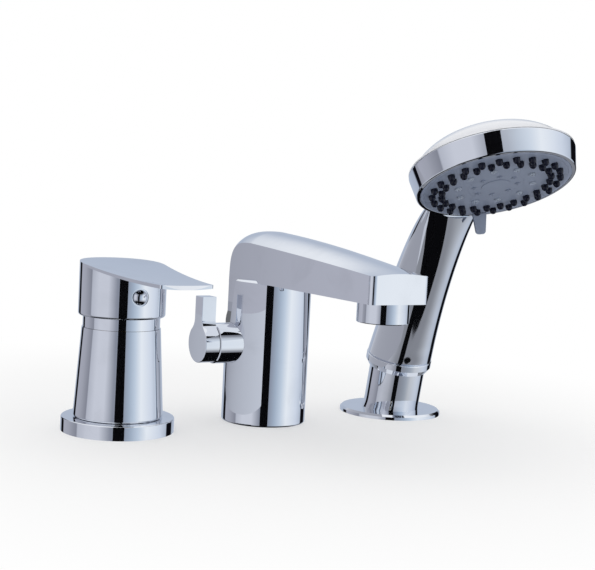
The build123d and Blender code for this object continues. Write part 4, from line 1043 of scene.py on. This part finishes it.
    def add_screen(self, name, across, depths, heights, near_shade, far_shade):
        """A glowing grey screen between two groups, there only for what stands to its right and seen only in
        reflections; its glow is a painted soft gradient of grey from front to back.
        """
        front, back = depths
        low, high = heights
        corners = ((across, front, low), (across, back, low), (across, back, high), (across, front, high))
        material, tree, output = empty_material(name + " grey")
        link = tree.links.new
        mix = add_node(tree, "ShaderNodeMixShader", (600, 0))
        glow = add_node(tree, "ShaderNodeEmission", (300, -100))
        clear = add_node(tree, "ShaderNodeBsdfTransparent", (300, -300))
        side = add_node(tree, "ShaderNodeNewGeometry", (0, 300))
        place = add_node(tree, "ShaderNodeTexCoord", (-700, 0))
        parts = add_node(tree, "ShaderNodeSeparateXYZ", (-500, 0))
        reach = {"From Min": front, "From Max": back}
        depth = add_node(tree, "ShaderNodeMapRange", (-300, 0), reach, interpolation_type="SMOOTHSTEP")
        ends = {"A": opaque(near_shade), "B": opaque(far_shade)}
        shades = add_node(tree, "ShaderNodeMix", (0, 0), ends, data_type="RGBA")
        link(place.outputs["Object"], parts.inputs["Vector"])
        link(parts.outputs["Y"], depth.inputs["Value"])
        link(depth.outputs["Result"], shades.inputs["Factor"])
        link(shades.outputs["Result"], glow.inputs["Color"])
        link(side.outputs["Backfacing"], mix.inputs["Fac"])
        link(glow.outputs["Emission"], mix.inputs[1])
        link(clear.outputs["BSDF"], mix.inputs[2])
        link(mix.outputs["Shader"], output.inputs["Surface"])
        self.add_sheet(name, corners, material)

    def add_card(self, name, corners):
        """A black card that the chrome shows as a dark band."""
        material, _, shader = new_material(name + " black")
        shader.inputs["Base Color"].default_value = opaque((0.004, 0.004, 0.005))
        shader.inputs["Specular IOR Level"].default_value = 0.0
        self.add_sheet(name, corners, material)

    def add_sheet(self, name, corners, material):
        """A flat sheet of the studio with one face."""
        shape = bmesh.new()
        shape.faces.new([shape.verts.new(corner) for corner in corners])
        mesh = bpy.data.meshes.new(name)
        shape.to_mesh(mesh)
        shape.free()
        self.hide_but_in_reflections(add_object(name, mesh, material, smooth=False))

    def hide_but_in_reflections(self, obj):
        """Leaves an object of the studio to the reflections alone."""
        obj.visible_camera = False
        obj.visible_diffuse = False
        obj.visible_shadow = False
        obj.visible_transmission = False

    def add_world(self):
        """White behind everything, and plain grey light for the rest."""
        world = bpy.data.worlds.new("studio")
        bpy.context.scene.world = world
        world.use_nodes = True
        tree = world.node_tree
        tree.nodes.clear()
        link = tree.links.new
        output = add_node(tree, "ShaderNodeOutputWorld", (600, 0))
        full = opaque((1.0, 1.0, 1.0))
        plain = add_node(tree, "ShaderNodeBackground", (0, -120), {"Color": full, "Strength": 0.8})
        white = add_node(tree, "ShaderNodeBackground", (0, 60), {"Color": full})
        rays = add_node(tree, "ShaderNodeLightPath", (-600, 200))
        glossy = add_node(tree, "ShaderNodeMath", (-300, 240), operation="MAXIMUM")
        either = add_node(tree, "ShaderNodeMath", (-100, 240), operation="MAXIMUM")
        mix = add_node(tree, "ShaderNodeMixShader", (300, 0))
        link(rays.outputs["Is Camera Ray"], glossy.inputs[0])
        link(rays.outputs["Is Glossy Ray"], glossy.inputs[1])
        link(glossy.outputs["Value"], either.inputs[0])
        link(rays.outputs["Is Transmission Ray"], either.inputs[1])
        link(either.outputs["Value"], mix.inputs["Fac"])
        link(plain.outputs["Background"], mix.inputs[1])
        link(white.outputs["Background"], mix.inputs[2])
        link(mix.outputs["Shader"], output.inputs["Surface"])

    def add_lamps(self, power):
        """One large soft lamp above, and a weaker one from the camera's left."""
        for name, place, size, share in LAMPS:
            lamp = bpy.data.lights.new(name, "AREA")
            lamp.shape = "SQUARE"
            lamp.size = size
            lamp.energy = power * share
            obj = bpy.data.objects.new(name, lamp)
            obj.location = place
            obj.rotation_euler = (LAMP_AIM - Vector(place)).to_track_quat("-Z", "Y").to_euler()
            obj.visible_glossy = False
            bpy.context.scene.collection.objects.link(obj)

    def add_camera(self, context):
        """The photograph's viewpoint: a little above, from the left in front."""
        turn, dip, roll = CAMERA_TURN, CAMERA_DIP, CAMERA_ROLL
        ahead = Vector((math.cos(dip) * math.sin(turn), math.cos(dip) * math.cos(turn), -math.sin(dip)))
        level = Vector((math.cos(turn), -math.sin(turn), 0))
        above = level.cross(ahead)
        right = level * math.cos(roll) + above * math.sin(roll)
        up = above * math.cos(roll) - level * math.sin(roll)
        camera = bpy.data.objects.new("camera", bpy.data.cameras.new("camera"))
        camera.data.lens = CAMERA_LENS
        camera.data.sensor_width = 36.0
        camera.data.sensor_fit = "HORIZONTAL"
        camera.data.clip_start = 0.01
        turned = Matrix((right, up, -ahead)).transposed().to_4x4()
        camera.matrix_world = Matrix.Translation(CAMERA_PLACE) @ turned
        context.scene.collection.objects.link(camera)
        context.scene.camera = camera


class BATH_PT_panel(bpy.types.Panel):
    """Lists what dresses the bath mixer"""

    bl_label = "Bath mixer"
    bl_idname = "BATH_PT_panel"
    bl_space_type = "VIEW_3D"
    bl_region_type = "UI"
    bl_category = "Bath mixer"

    def draw(self, context):
        layout = self.layout
        for settings in (context.scene.bath_chrome, context.scene.bath_face, context.scene.bath_stage):
            box = layout.box()
            for name in settings.__annotations__:
                box.prop(settings, name)
        for operator in PIECES:
            layout.operator(operator.bl_idname)


PIECES = (
    BATH_OT_metalwork,
    BATH_OT_lever_button,
    BATH_OT_handset_shell,
    BATH_OT_inner_parts,
    BATH_OT_spray_face,
    BATH_OT_nozzles,
    BATH_OT_stage,
)
CLASSES = (BathChromeSettings, BathFaceSettings, BathStageSettings) + PIECES + (BATH_PT_panel,)


def register():
    """Registers the classes, and the settings on the scene."""
    for cls in CLASSES:
        bpy.utils.register_class(cls)
    bpy.types.Scene.bath_chrome = bpy.props.PointerProperty(type=BathChromeSettings)
    bpy.types.Scene.bath_face = bpy.props.PointerProperty(type=BathFaceSettings)
    bpy.types.Scene.bath_stage = bpy.props.PointerProperty(type=BathStageSettings)


def unregister():
    """Takes the settings and the classes away again."""
    del bpy.types.Scene.bath_stage
    del bpy.types.Scene.bath_face
    del bpy.types.Scene.bath_chrome
    for cls in reversed(CLASSES):
        bpy.utils.unregister_class(cls)


def main():
    """Runs every operator in order."""
    register()
    bpy.ops.bath.metalwork()
    bpy.ops.bath.lever_button()
    bpy.ops.bath.handset_shell()
    bpy.ops.bath.inner_parts()
    bpy.ops.bath.spray_face()
    bpy.ops.bath.nozzles()
    bpy.ops.bath.stage()


if __name__ == "__main__":
    main()
